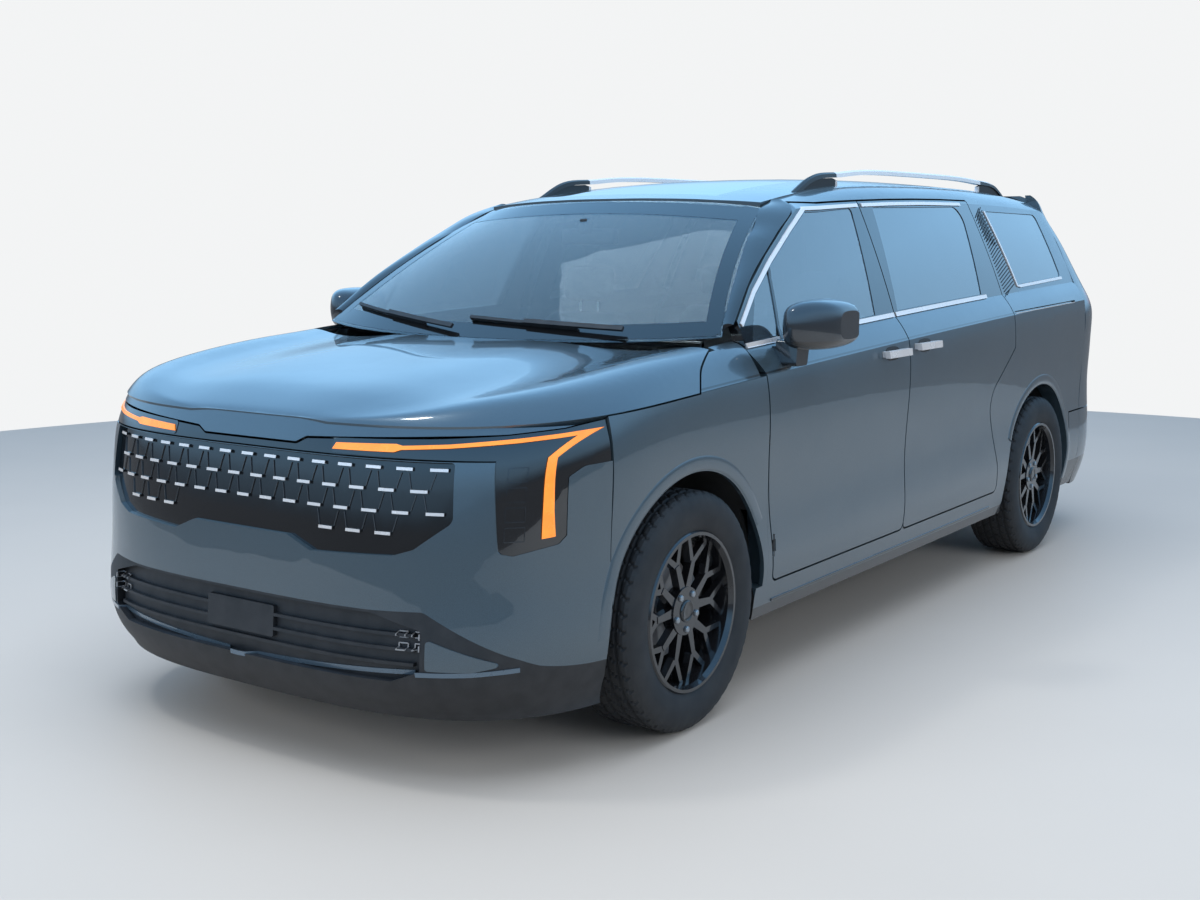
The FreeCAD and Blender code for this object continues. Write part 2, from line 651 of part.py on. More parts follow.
INTAKE = [
    (500.0, 492.0, 20), (646.0, 453.0, 12), (645.0, 342.0, 12), (560.0, 308.0, 20),
    (-560.0, 308.0, 20), (-645.0, 342.0, 12), (-646.0, 453.0, 12), (-500.0, 492.0, 20),
]
FRONT = ("y", -3000.0, -1900.0)
DAY_BAR = [
    (334.0, 922.0, 0), (343.0, 939.0, 0), (536.0, 946.0, 0), (556.0, 942.0, 0), (684.0, 950.0, 0), (835.0, 965.0, 0),
    (900.0, 973.0, 0), (948.0, 981.0, 0), (906.0, 912.0, 0), (907.0, 770.0, 0), (909.0, 700.0, 0), (892.0, 697.0, 0),
    (893.0, 770.0, 0), (894.0, 914.0, 0), (925.0, 966.0, 0), (900.0, 962.0, 0), (835.0, 954.0, 0), (684.0, 940.0, 0),
    (556.0, 932.0, 0), (536.0, 925.0, 0),
]
CLADDING = [
    (1100.0, 316.0, 0), (954.0, 323.0, 10), (892.0, 351.0, 10), (862.0, 374.0, 30), (650.0, 504.0, 30),
    (500.0, 499.0, 30), (-500.0, 499.0, 30), (-650.0, 504.0, 30), (-862.0, 374.0, 30), (-892.0, 351.0, 10),
    (-954.0, 323.0, 10), (-1100.0, 316.0, 0), (-1100.0, 150.0, 0), (1100.0, 150.0, 0),
]
GARNISH = [(661.0, 432.0, 10), (660.0, 346.0, 8), (770.0, 344.0, 8), (842.0, 362.0, 8)]


def flipped(points):
    return [(-x, z, radius) for x, z, radius in points[::-1]]


lip = nose_wall(0.0, size("bonnet_thick")).common(block((-1100, 1100), (-3000, -2032), (900, 992)))
over_band = BAND[:12] + [(-1200.0, 1200.0, 0), (1200.0, 1200.0, 0)]
lip = lip.common(prism(over_band, *FRONT, grow=-GAP / 2))
bonnet = bonnet_wall(0.0, size("bonnet_thick")).common(prism(BONNET_PLAN, "z", 700.0, 1400.0)).fuse(lip)
BONNET_PIN = Vector(700, -1375, 1112)
bonnet_lugs = []
for side in (-1, 1):
    x = side * BONNET_PIN.x
    for edge in (x - 25, x + 13):
        arm = block((edge, edge + 12), (-1500, BONNET_PIN.y + 10), (BONNET_PIN.z - 9, BONNET_PIN.z + 13))
        bonnet = bonnet.fuse(arm)
    bonnet = bonnet.cut(rod(PIN + BEARING, 60, Vector(x - 30, BONNET_PIN.y, BONNET_PIN.z), Vector(1, 0, 0)))
    lug = block((x - 9, x + 9), (BONNET_PIN.y - 8, -1262), (1048, 1074))
    lug = lug.fuse(block((x - 9, x + 9), (BONNET_PIN.y - 8, BONNET_PIN.y + 8), (1048, BONNET_PIN.z + 8)))
    bonnet_lugs.append(lug.fuse(rod(PIN, 56, Vector(x - 28, BONNET_PIN.y, BONNET_PIN.z), Vector(1, 0, 0))))
keep("bonnet", bonnet)

cover = nose_wall(0.0, size("cover_thick"))
cover = cover.common(block((-1100, 1100), (-3000, NOSE_SEAM - GAP / 2), (185, 905)))
whole_cover = cover.cut(FRONT_ARCH).cut(mirrored(FRONT_ARCH))
cover = whole_cover
for points in (BAND, GRILLE, CLADDING, LAMP, flipped(LAMP)):
    cover = cover.cut(prism(points, *FRONT, grow=size("seat_gap")))
garnish = nose_wall(-3.0, 20.0).common(prism(GARNISH, *FRONT))
keep("bumper_front", Part.Compound([cover, garnish, mirrored(garnish)]))
lip_cover = whole_cover.common(prism(CLADDING, *FRONT))
for points in (INTAKE, GARNISH, flipped(GARNISH)):
    lip_cover = lip_cover.cut(prism(points, *FRONT, grow=size("seat_gap")))
keep("lower_lip", lip_cover)

band = nose_wall(4.0, size("cover_thick")).common(prism(BAND, *FRONT, grow=-GAP / 2))
grille = nose_wall(16.0, size("cover_thick")).common(prism(GRILLE, *FRONT)).fuse(band)
for points in (LAMP, flipped(LAMP)):
    grille = grille.cut(prism(points, *FRONT, grow=size("seat_gap")))
grille = grille.common(block((-1100, 1100), (-3000, NOSE_SEAM - GAP), (0, 1003)))
dashes = []
for row in range(4):
    z = 882.0 - 58.0 * row
    for place in range(-7, 8):
        x = (place + 0.5 * (row % 2)) * 95.0 - 24
        if abs(x + 24) > (690, 700, 680, 600)[row] or (row == 3 and abs(x + 24) < 250):
            continue
        dashes.append(prism([(x, z - 4, 0), (x + 48, z - 4, 0), (x + 48, z + 4, 0), (x, z + 4, 0)], *FRONT))
dashes = nose_wall(9.0, 22.0).common(Part.Compound(dashes))
grille = grille.fuse(dashes.Solids)
keep("grille", grille)
intake = nose_wall(26.0, size("cover_thick")).common(prism(INTAKE, *FRONT))
slats = [prism([(-620.0, z, 0), (620.0, z, 0), (620.0, z + 9, 0), (-620.0, z + 9, 0)], *FRONT) for z in (352.0, 392.0, 432.0)]
slats.append(prism([(-140.0, 372.0, 6), (140.0, 372.0, 6), (140.0, 462.0, 6), (-140.0, 462.0, 6)], *FRONT))
slats = nose_wall(12.0, size("cover_thick") - 1).common(slats[0].fuse(slats[1:])).common(prism(INTAKE, *FRONT))
keep("lower_intake", intake.fuse(slats.Solids))
lamp = nose_wall(2.0, size("cover_thick") + 30).common(prism(LAMP, *FRONT))
lamp = lamp.common(block((0, 1100), (-3000, NOSE_SEAM - GAP), (0, 1003)))
keep("headlamps", pair(lamp))
keep("day_bars", pair(nose_wall(-2.0, 1.7).common(prism(DAY_BAR, *FRONT))))


# Roof section, used by the roof and by the tailgate's spoiler

HINGE_LINE = 2165.0
HINGE_Z = roof_z(HINGE_LINE) - 8.0
LID_GAP = 10.0


def roof_half(y):
    return size("channel_half") * corner(min(y, 2050.0), size("window_top")) - size("seat_gap")


def roof_wire(y, thick=26.0):
    """Closed section across the roof between its side channels."""
    edge = max(roof_z(y) - size("roof_crown"), window_z(y) + 16)
    half_x, top = roof_half(y), roof_z(y)
    half = [(half_x * c, top - (top - edge) * c**2.4) for c in (1.0, 0.85, 0.6, 0.3, 0.0)]
    whole = [(-x, z) for x, z in half[:-1]] + half[::-1]
    out = [Vector(x, y, z) for x, z in whole]
    back = [Vector(x, y, z - thick) for x, z in whole]
    return Part.Wire([
        spline(out),
        Part.LineSegment(out[-1], back[-1]).toShape(),
        spline(back[::-1]),
        Part.LineSegment(back[0], out[0]).toShape(),
    ])


# Tail: tailgate, glass, lamps and bumper cover

REAR = ("y", 1700.0, 3000.0)
REAR_WINDOW = [
    (640.0, 1262.0, 30), (575.0, 1610.0, 40), (-575.0, 1610.0, 40), (-640.0, 1262.0, 30),
]
LAMP_BAR = [(-1200.0, 1135.0, 0), (1200.0, 1135.0, 0), (1200.0, 1228.0, 0), (-1200.0, 1228.0, 0)]
tail_skin = tail_wall(0.0, size("cover_thick"))
tailgate = tail_skin.common(prism(TAILGATE, *REAR))
tailgate = tailgate.cut(prism(REAR_WINDOW, *REAR, grow=size("seat_gap")))
bar_bed = tail_wall(-5.0, 14.0 + size("seat_gap")).common(prism(LAMP_BAR, *REAR, grow=size("seat_gap")))
tailgate = tailgate.cut(bar_bed)
spoiler_back = 2330.0
spoiler = Part.makeLoft([roof_wire(y, drop) for y, drop in ((HINGE_LINE, 26.0), (2240.0, 26.0), (spoiler_back, 18.0))], True, False)
tailgate = tailgate.cut(block((-1000, 1000), (1700, HINGE_LINE), (0, 3000))).fuse(spoiler)
HINGE = Vector(0, HINGE_LINE + 3, HINGE_Z)
roof_lugs = []
for x in (-420.0, 420.0):
    tailgate = tailgate.cut(block((x - 40, x + 40), (HINGE_LINE - 5, HINGE_LINE + 14), (1500, 1800)))
    eye = rod(8.0, 36, Vector(x - 18, HINGE.y, HINGE.z), Vector(1, 0, 0))
    eye = eye.fuse(block((x - 18, x + 18), (HINGE.y, HINGE_LINE + 30), (HINGE.z - 8, HINGE.z)))
    tailgate = tailgate.fuse(eye).cut(rod(4.05, 90, Vector(x - 45, HINGE.y, HINGE.z), Vector(1, 0, 0)))
    lugs = rod(4.0, 64, Vector(x - 32, HINGE.y, HINGE.z), Vector(1, 0, 0))
    for side in (x - 33, x + 23):
        lugs = lugs.fuse(rod(7.0, 10, Vector(side, HINGE.y, HINGE.z), Vector(1, 0, 0)))
        lugs = lugs.fuse(block((side, side + 10), (HINGE_LINE - 40, HINGE.y), (HINGE.z - 7, HINGE.z)))
    roof_lugs.append(lugs)
keep("tailgate", tailgate)
keep("tailgate_glass", tail_wall(size("glass_inset"), size("glass_inset") + 5).common(prism(REAR_WINDOW, *REAR)))
corner_lamp = tail_wall(0.0, 14.0).common(block((500, 1200), (2129, 3000), (1135, 1228)))
corner_lamp = corner_lamp.cut(prism(TAILGATE, *REAR, grow=GAP))
keep("tail_lamps", pair(corner_lamp))
keep("tailgate_lamp", tail_wall(0.0, 14.0).common(prism(LAMP_BAR, *REAR)).common(prism(TAILGATE, *REAR)))
bumper_top = 628.0 - GAP
rear_cover = tail_skin.common(block((-1100, 1100), (TAIL_SEAM, 3000), (240, bumper_top)))
flank = side_wall(0.0, size("cover_thick")).common(block((300, 1200), (1895, TAIL_SEAM + 2), (240, bumper_top)))
rear_cover = rear_cover.fuse([flank, mirrored(flank)])
keep("bumper_rear", rear_cover)


# Windscreen, its pillars and the roof

SCREEN_FOOT = (Vector(866, -1322, 1176), Vector(0, -1468, 1146))
SCREEN_HEAD = (Vector(630, -640, 1598), Vector(0, -722, 1628))
SCREEN_COLUMNS = ((1.0, 0.0), (0.73, 0.585), (0.38, 0.905), (0.0, 1.0))  # share of half width, share of bow
SCREEN_BULGE = 26.0


def screen_point(column, t, inset=0.0):
    """Point of the windscreen: columns from the side in, t from foot to head."""
    across, bow = SCREEN_COLUMNS[column]
    foot, head = SCREEN_FOOT, SCREEN_HEAD
    side = foot[0] + (head[0] - foot[0]) * t
    middle = foot[1] + (head[1] - foot[1]) * t
    inwards = Vector(0, side.y - middle.y, side.z - middle.z).normalize()
    raised = Vector(0, -0.55, 0.84) * (4 * SCREEN_BULGE * t * (1 - t))
    bowed = side + Vector(0, middle.y - side.y, middle.z - side.z) * bow + raised + inwards * inset
    return Vector(side.x * across, bowed.y, bowed.z)


def screen_wire(t, outer, inner):
    out = [screen_point(i, t, outer) for i in range(4)]
    out += [Vector(-q.x, q.y, q.z) for q in out[-2::-1]]
    back = [screen_point(i, t, inner) for i in range(4)]
    back += [Vector(-q.x, q.y, q.z) for q in back[-2::-1]]
    return Part.Wire([
        spline(out),
        Part.LineSegment(out[-1], back[-1]).toShape(),
        spline(back[::-1]),
        Part.LineSegment(back[0], out[0]).toShape(),
    ])


cowl = bonnet_wall(62.0, 70.0).common(block((-862, 862), (-1530, -1292), (800, 1300)))
for side in (-1, 1):
    slot = (side * BONNET_PIN.x - 9.3, side * BONNET_PIN.x + 9.3)
    cowl = cowl.cut(block(slot, (BONNET_PIN.y - 20, -1200), (1000, 1140)))
keep("cowl", cowl)

SCREEN_STEPS = (0.0, 0.25, 0.5, 0.75, 1.0)
screen = Part.makeLoft([screen_wire(t, 4.0, 4.0 + 1.9 * size("glass_thick")) for t in SCREEN_STEPS], True, False)
screen_seat = Part.makeLoft([screen_wire(t, 3.0, 5.0 + 1.9 * size("glass_thick")) for t in SCREEN_STEPS], True, False)
keep("windscreen", screen)


def skin_point(y, z):
    """Point of the left side's skin at a place and height above the window line."""
    runs = section(y)
    table = [(b, a) for a, b in runs[1][-1:] + runs[2][1:] + runs[3][1:]]
    return Vector(smooth(table, z), y, z)


def glass_side(y):
    """Edge of the windscreen, and of the roof behind it, at a place along the body."""
    if y > SCREEN_HEAD[0].y:
        share = (y - SCREEN_HEAD[0].y) / (PILLAR_LINE[0][0] - SCREEN_HEAD[0].y)
        over = (SCREEN_HEAD[0].x, SCREEN_HEAD[0].z)
        under = (roof_half(y), max(roof_z(y) - size("roof_crown"), window_z(y) + 16))
        return Vector(over[0] + (under[0] - over[0]) * share, y, over[1] + (under[1] - over[1]) * share)
    low, high = 0.0, 1.0
    for step in range(40):
        t = (low + high) / 2
        if screen_point(0, t).y < y:
            low = t
        else:
            high = t
    return screen_point(0, low)


def pillar_wire(y, clear=0.0):
    """Section of the windscreen pillar between the glass edge and the door's upper edge."""
    inner = glass_side(y) + Vector(0.6 - clear, 0, clear)
    line_z = smooth(sorted(PILLAR_LINE), y) + GAP + 2 - clear
    outer = skin_point(y, line_z)
    across, up = outer.x - inner.x, outer.z - inner.z
    middle = Vector((inner.x + outer.x) / 2 + 4 + clear, y, (inner.z + outer.z) / 2 + 4)
    under_outer = outer + Vector(-0.42 * across - clear, 0, -0.42 * up - 5 - clear)
    under_inner = inner + Vector(-14 - clear, 0, -24 - clear)
    rebate = inner + Vector(0, 0, -8 - clear)
    return Part.Wire([
        spline([inner, middle, outer]),
        Part.LineSegment(outer, under_outer).toShape(),
        Part.LineSegment(under_outer, under_inner).toShape(),
        Part.LineSegment(under_inner, rebate).toShape(),
        Part.LineSegment(rebate, inner).toShape(),
    ])


PILLAR_STEPS = (-1275.0, -1220.0, -1120.0, -980.0, -840.0, -720.0, -640.0, -590.0, PILLAR_LINE[0][0] - 0.5)
pillar = Part.makeLoft([pillar_wire(y) for y in PILLAR_STEPS], True, False)
pillar = pillar.cut(screen_seat)
pillar_room = Part.makeLoft([pillar_wire(y, 6.0) for y in PILLAR_STEPS], True, False)
front_door = front_door.cut(pillar_room)
keep("door_front_left", front_door)
keep("door_front_right", mirrored(front_door))
keep("windscreen_pillars", Part.Compound([pillar, mirrored(pillar)]))


ROOF_STATIONS = (-735.0, -640.0, -480.0, -200.0, 200.0, 700.0, 1200.0, 1700.0, 2000.0, HINGE_LINE - LID_GAP)
roof = Part.makeLoft([roof_wire(y) for y in ROOF_STATIONS], True, False)
head_line = [screen_point(i, 1.0) for i in range(4)]
head_line = [(q.x, q.y + 15) for q in head_line] + [(-q.x, q.y + 15) for q in head_line[-2::-1]]
behind_head = [(700.0, head_line[0][1], 0)] + [(x, y, 0) for x, y in head_line] + [(-700.0, head_line[0][1], 0)]
behind_head += [(-700.0, 2400.0, 0), (700.0, 2400.0, 0)]
roof = roof.common(prism(behind_head, "z", 1400.0, 1900.0))
beside = side_wall(-2.0, FRAME_DEPTH + 10)
beside.translate(Vector(-size("seat_gap"), 0, 0))
pillar_seat = Part.makeLoft([pillar_wire(y, size("seat_gap")) for y in PILLAR_STEPS], True, False)
for other in (beside, pillar_seat):
    roof = roof.cut(other).cut(mirrored(other))
roof = roof.fuse(roof_lugs)
keep("roof_panel", roof)


# Roof rails


RAIL_FRONT, RAIL_END = -330.0, 1870.0


def roof_rail():
    """A low bridge along the roof's channel, its ends swept down to the roof."""
    rows = [(RAIL_FRONT - 40, -12.0), (RAIL_FRONT + 20, 4.0), (RAIL_FRONT + 130, 38.0), (RAIL_FRONT + 260, 46.0)]
    rows += [(y, 48.0) for y in (200.0, 600.0, 1000.0, 1400.0)]
    rows += [(RAIL_END - 260, 47.0), (RAIL_END - 110, 34.0), (RAIL_END - 20, 2.0), (RAIL_END + 30, -12.0)]
    wires = []
    for y, rise in rows:
        x = (size("channel_half") - 22) * corner(y, 1700)
        z = roof_z(y) - size("roof_crown") + rise
        ring = [Vector(x - 14, y, z - 9), Vector(x - 12, y, z + 7), Vector(x, y, z + 12), Vector(x + 12, y, z + 6), Vector(x + 14, y, z - 9)]
        wires.append(Part.makePolygon(ring + [ring[0]]))
    return Part.makeLoft(wires, True, False)


left_rail = roof_rail()
for start, way in ((RAIL_FRONT, 1), (RAIL_END, -1)):
    low = roof_z(start + way * 200) - size("roof_crown")
    foot = [(start + way * 30, low - 14, 0), (start + way * 140, low + 34, 0), (start + way * 300, low + 42, 0)]
    foot += [(start + way * 345, low + 34, 0), (start + way * 355, low - 14, 0)]
    inner_side = (size("channel_half") - 30) * corner(start, 1700)
    left_rail = left_rail.fuse(prism(foot, "x", inner_side, inner_side + 16))
left_rail = left_rail.cut(roof)
left_rail = max(left_rail.Solids, key=lambda solid: solid.Volume)
keep("roof_rails", Part.Compound([left_rail, mirrored(left_rail)]))


# Floor, bulkhead and wheelhouses

floor = block((-880, 880), (-1240, 960), (290, 330))
floor = floor.fuse(block((-600, 600), (940, 2440), (290, 330)))
floor = floor.fuse(block((-850, 850), (1930, 2330), (290, 330)))
for side in (-1, 1):
    sill = block((845, 905), (-1190, 960), (262, 360))
    floor = floor.fuse(sill if side > 0 else mirrored(sill))
liner = rod(size("arch_radius") + 24, 300.0, Vector(600, REAR_AXLE, HUB_Z), Vector(1, 0, 0))
liner = liner.cut(rod(size("arch_radius") + 8, 320.0, Vector(612, REAR_AXLE, HUB_Z), Vector(1, 0, 0)))
liner = liner.common(block((590, 900), (900, 2000), (290, 900)))
floor = floor.fuse(liner).fuse(mirrored(liner))
for wall in (REAR_ARCH, mirrored(REAR_ARCH)):
    floor = floor.cut(wall.common(block((-2000, 2000), (0, 3000), (0, 2000))).cut(block((-612, 612), (0, 3000), (0, 2000))))
for y in (-1060.0, 880.0):
    pad = block((770, 840), (y, y + 90), (238, 292))
    floor = floor.fuse([pad, mirrored(pad)])
beside = side_wall(-10.0, FRAME_DEPTH + size("seat_gap"))
post_seat = side_wall(FRAME_DEPTH - 8, FRAME_DEPTH + 40 + size("seat_gap"))
post_seat = post_seat.common(block((300, 1200), (SPLIT - 60.3, SPLIT + 80.3), (250, 700)))
front_room = rod(size("arch_radius") + 26, 520.0, Vector(500, FRONT_AXLE, HUB_Z), Vector(1, 0, 0))
for other in (beside, post_seat, front_room):
    floor = floor.cut(other).cut(mirrored(other))
floor = floor.cut(tail_wall(-6.0, size("cover_thick") + size("seat_gap")))
keep("floor_pan", floor)

engine_room = block((-360.2, 380.2), (-2080.2, -1559.8), (399.8, 960.2))
front_liner = rod(size("arch_radius") + 40, 520.0, Vector(488, FRONT_AXLE, HUB_Z), Vector(1, 0, 0))
front_liner = front_liner.cut(front_room)
front_liner = front_liner.common(block((480, 1000), (-2200, -1190), (300, 980)))
front_liner = front_liner.cut(block((905, 1010), (FENDER_BACK - 9, -1100), (290, 990)))
front_liner = front_liner.cut(side_wall(-30.0, size("skin_thick") + size("seat_gap")))
front_liner = front_liner.cut(nose_wall(-30.0, size("cover_thick") + size("seat_gap")))
front_liner = max(front_liner.Solids, key=lambda solid: solid.Volume)
bulkhead = block((-780, 780), (-1290, -1250), (330.3, 1090))
bulkhead = bulkhead.fuse(front_liner).fuse(mirrored(front_liner))
strut_top = rod(78, 150, kingpin_at(806), KINGPIN_WAY)
rails = block((410, 476), (-2400, -1255), (340, 440))
absorber = block((-380, 380), (-2700, -2360), (400, 500)).cut(nose_wall(-40.0, size("cover_thick") + size("seat_gap")))
absorber = absorber.common(block((-380, 380), (-2560, -2360), (400, 500)))
beam = block((-600, 600), (-2400, -2352), (390, 510)).fuse(absorber)
engine_mount = block((380.3, 420), (-1860, -1780), (440, 520)).fuse(block((405, 476), (-1860, -1780), (430, 520)))
for part_shape in (block((770, 830), (-1290, -1175), (330.3, 1090)), strut_top, rails, engine_mount):
    bulkhead = bulkhead.fuse([part_shape, mirrored(part_shape)])
far_mount = block((-420, -360.3), (-1860, -1780), (440, 520))
bulkhead = bulkhead.fuse([beam, far_mount] + bonnet_lugs + hinge_arms + [mirrored(arm) for arm in hinge_arms])
bulkhead = bulkhead.cut(front_room).cut(mirrored(front_room))
bulkhead = bulkhead.cut(engine_room).cut(block((-882, 882), (-1240.3, -1000), (280, 330.3)))
for side in (-1, 1):
    sill_seat = block((844.7, 905.3), (-1190.3, -1000), (250, 360.3))
    bulkhead = bulkhead.cut(sill_seat if side > 0 else mirrored(sill_seat))
sill_end = beside.common(block((800, 1200), (FENDER_BACK - 8, -1100), (200, DOOR_LOW - 7.7)))
bulkhead = bulkhead.cut(sill_end).cut(mirrored(sill_end))
keep("bulkhead", bulkhead)


# Machinery seen from below and through the grille


def simple_box(name, x, y, z):
    """A Part::Box whose extents are (low, high) pairs."""
    feature = doc.addObject("Part::Box", name)
    feature.Length, feature.Width, feature.Height = x[1] - x[0], y[1] - y[0], z[1] - z[0]
    feature.Label = name
    feature.Placement = Placement(Vector(x[0], y[0], z[0]), Rotation())
    pieces[name] = feature
    return feature


simple_box("engine", (-360, 380), (-2080, -1560), (400, 960))
simple_box("fuel_tank", (-120, 420), (120, 900), (205, 289.7))

pipe = rod(27, 3360, Vector(-260, -1360, 236), Vector(0, 1, 0))
muffler = block((-420, -120), (1960, 2280), (190, 280))
hangers = block((-280, -240), (0, 40), (240, 289.7)).fuse(block((-280, -240), (2100, 2140), (240, 289.7)))
tail_pipe = rod(22, 330, Vector(-330, 2230, 213), Vector(0, 1, 0))
keep("exhaust", pipe.fuse([muffler, hangers, tail_pipe]))
pipe_room = rod(34, 3500, Vector(-260, -1420, 236), Vector(0, 1, 0))

subframe = block((-400, 400), (FRONT_AXLE - 260, FRONT_AXLE + 260), (200, 250))
ball = kingpin_at(222)
arm = prism([
    (390, FRONT_AXLE - 60, 0), (ball.x, FRONT_AXLE - 22, 20), (ball.x, FRONT_AXLE + 22, 20),
    (390, FRONT_AXLE + 230, 0),
], "z", 208.0, 228.0)
ball_pin = rod(10, 44, kingpin_at(216), KINGPIN_WAY)
arm = arm.fuse(ball_pin)
subframe = subframe.fuse(arm).fuse(mirrored(arm))
leg = block((410, 470), (FRONT_AXLE - 200, FRONT_AXLE - 140), (208, 339.7)).fuse(block((360, 470), (FRONT_AXLE - 200, FRONT_AXLE - 140), (208, 245)))
leg = leg.fuse(leg.translated(Vector(0, 340, 0)))
subframe = subframe.fuse([leg, mirrored(leg)]).cut(pipe_room)
keep("front_suspension", max(subframe.Solids, key=lambda solid: solid.Volume))
rear_beam = block((-420, 420), (REAR_AXLE - 150, REAR_AXLE + 130), (225, 289.7)).cut(pipe_room)
SPINDLE = 20.0
rear_arm = block((400, 700), (REAR_AXLE - 30, REAR_AXLE + 30), (225, 255))
rear_hub = rod(60, 70, Vector(660, REAR_AXLE, HUB_Z), Vector(1, 0, 0)).fuse(block((668, 700), (REAR_AXLE - 30, REAR_AXLE + 30), (225, 370)))
rear = rear_beam
spindle = rod(SPINDLE, TYRE_X - 694, Vector(690, 0, HUB_Z), Vector(1, 0, 0))
for part_shape in (rear_arm, rear_hub, spindle.translated(Vector(0, REAR_AXLE, 0))):
    rear = rear.fuse(part_shape).fuse(mirrored(part_shape))
keep("rear_suspension", rear)

upright = rod(55, 62, Vector(KINGPIN_X - 40, FRONT_AXLE, HUB_Z), Vector(1, 0, 0))
upright = upright.fuse(rod(22, 130, kingpin_at(236), KINGPIN_WAY))
strut = rod(28, 320, kingpin_at(470), KINGPIN_WAY).fuse(rod(60, 190, kingpin_at(600), KINGPIN_WAY))
web = block((KINGPIN_X - 60, KINGPIN_X - 12), (FRONT_AXLE - 26, FRONT_AXLE + 26), (300, 520))
upright = upright.fuse(web).fuse(strut)
upright = upright.fuse(spindle.translated(Vector(0, FRONT_AXLE, 0)))
upright = upright.cut(rod(10 + BEARING, 60, kingpin_at(216), KINGPIN_WAY))
keep("knuckle_left", upright)
keep("knuckle_right", mirrored(upright))


# Wheels

TYRE_HALF = size("tyre_width") / 2


def revolved(points, x, y, z):
    """Closed (along the axle, radius) outline turned about an axle parallel to X."""
    vectors = [Vector(x + a, y, z + r) for a, r in points]
    wire = Part.makePolygon(vectors + [vectors[0]])
    return Part.Face(wire).revolve(Vector(x, y, z), Vector(1, 0, 0), 360)


def tyre_outline():
    r, b, w = size("tyre_radius"), size("bead_radius"), TYRE_HALF
    half = [(w - 34, r), (w - 14, r - 12), (w - 3, r - 40), (w, r - 66), (w - 8, b + 26), (w - 20, b)]
    return half + [(-a, q) for a, q in half[::-1]]


def rim_outline():
    b, w = size("bead_radius") - 0.3, TYRE_HALF - 14
    out = [(w, b + 9), (w + 6, b + 4), (w + 6, b - 6), (w - 10, b - 14), (40, b - 22)]
    return out + [(-w + 10, b - 12), (-w, b - 8), (-w, b + 9), (-w + 8, b + 9), (-w + 8, b), (w - 8, b), (w - 8, b + 9)]


def bar(start, end, wide_start, wide_end, low, high):
    """Straight spoke between two (angle, radius) places in a wheel's plane."""
    a, b = [Vector(r * math.sin(math.radians(t)), r * math.cos(math.radians(t)), 0) for t, r in (start, end)]
    out = Vector(-(b - a).y, (b - a).x, 0).normalize()
    corners = [a + out * wide_start, a - out * wide_start, b - out * wide_end, b + out * wide_end]
    return prism([(q.x, q.y, 0) for q in corners], "x", low, high)


RIM_REACH = size("bead_radius") - 14
FORK = bar((5.0, 40.0), (17.0, 152.0), 15.0, 10.0, 0.0, 26.0)
FORK = FORK.fuse([
    bar((17.0, 146.0), (6.0, RIM_REACH), 9.5, 8.0, 1.0, 24.0),
    bar((16.0, 146.0), (32.0, RIM_REACH), 9.5, 8.0, 1.0, 24.0),
])


def wheel(at_y):
    tyre = revolved(tyre_outline(), TYRE_X, at_y, HUB_Z)
    rim = revolved(rim_outline(), TYRE_X, at_y, HUB_Z)
    hub = rod(74, 40, Vector(TYRE_X + 40, at_y, HUB_Z), Vector(1, 0, 0))
    hub = hub.fuse(rod(45, 90, Vector(TYRE_X - 50, at_y, HUB_Z), Vector(1, 0, 0)))
    spokes = []
    for turn in range(5):
        for part_shape in (FORK, FORK.mirror(Vector(0, 0, 0), Vector(0, 1, 0))):
            one = part_shape.copy()
            one.Placement = Placement(Vector(TYRE_X + 50, at_y, HUB_Z), Rotation(Vector(1, 0, 0), turn * 72.0))
            spokes.append(one)
    rim = rim.fuse(spokes)
    disc = rod(155, 26, Vector(TYRE_X - 30, at_y, HUB_Z), Vector(1, 0, 0))
    tyre = tyre.cut(rim)
    bearing = rod(SPINDLE + BEARING, 140, Vector(TYRE_X - 60, at_y, HUB_Z), Vector(1, 0, 0))
    bearing = bearing.common(block((0, TYRE_X + 4), (-3000, 3000), (0, 1000)))
    return tyre, rim.fuse(hub).fuse(disc).cut(bearing)


for name, at_y in (("front", FRONT_AXLE), ("rear", REAR_AXLE)):
    tyre, rim = wheel(at_y)
    for side, turn in (("left", lambda shape: shape), ("right", mirrored)):
        keep(f"tyre_{name}_{side}", turn(tyre))
        keep(f"rim_{name}_{side}", turn(rim))


# Cabin


def seat(x, y, z, width, back_top, lean_back=120.0):
    """A seat: cushion, backrest and head restraint, its front foot at y and the floor at z."""
    cushion = prism([
        (y, z + 170, 40), (y + 20, z + 330, 50), (y + 480, z + 290, 20), (y + 560, z + 180, 30),
    ], "x", x - width / 2, x + width / 2)
    back = prism([
        (y + 440, z + 230, 30), (y + 400 + lean_back, back_top - 120, 40), (y + 430 + lean_back, back_top, 50),
        (y + 530 + lean_back, back_top, 50), (y + 590, z + 230, 30),
    ], "x", x - width / 2, x + width / 2)
    head = prism([
        (y + 440 + lean_back, back_top + 30, 30), (y + 430 + lean_back, back_top + 180, 35),
        (y + 510 + lean_back, back_top + 185, 30), (y + 520 + lean_back, back_top + 30, 20),
    ], "x", x - 130, x + 130)
    stem = block((x - 60, x + 60), (y + 465 + lean_back, y + 485 + lean_back), (back_top - 20, back_top + 60))
    foot = block((x - width / 2 + 60, x + width / 2 - 60), (y + 80, y + 460), (z + 0.3, z + 200))
    return cushion.fuse([back, head, stem, foot])


CABIN_FLOOR = 330.0
keep("front_seats", Part.Compound([seat(400, -860, CABIN_FLOOR, 520, 1190), seat(-400, -860, CABIN_FLOOR, 520, 1190)]))
keep("middle_seats", Part.Compound([seat(390, 230, CABIN_FLOOR, 500, 1180), seat(-390, 230, CABIN_FLOOR, 500, 1180)]))
keep("rear_bench", seat(0, 1240, CABIN_FLOOR, 1160, 1120))

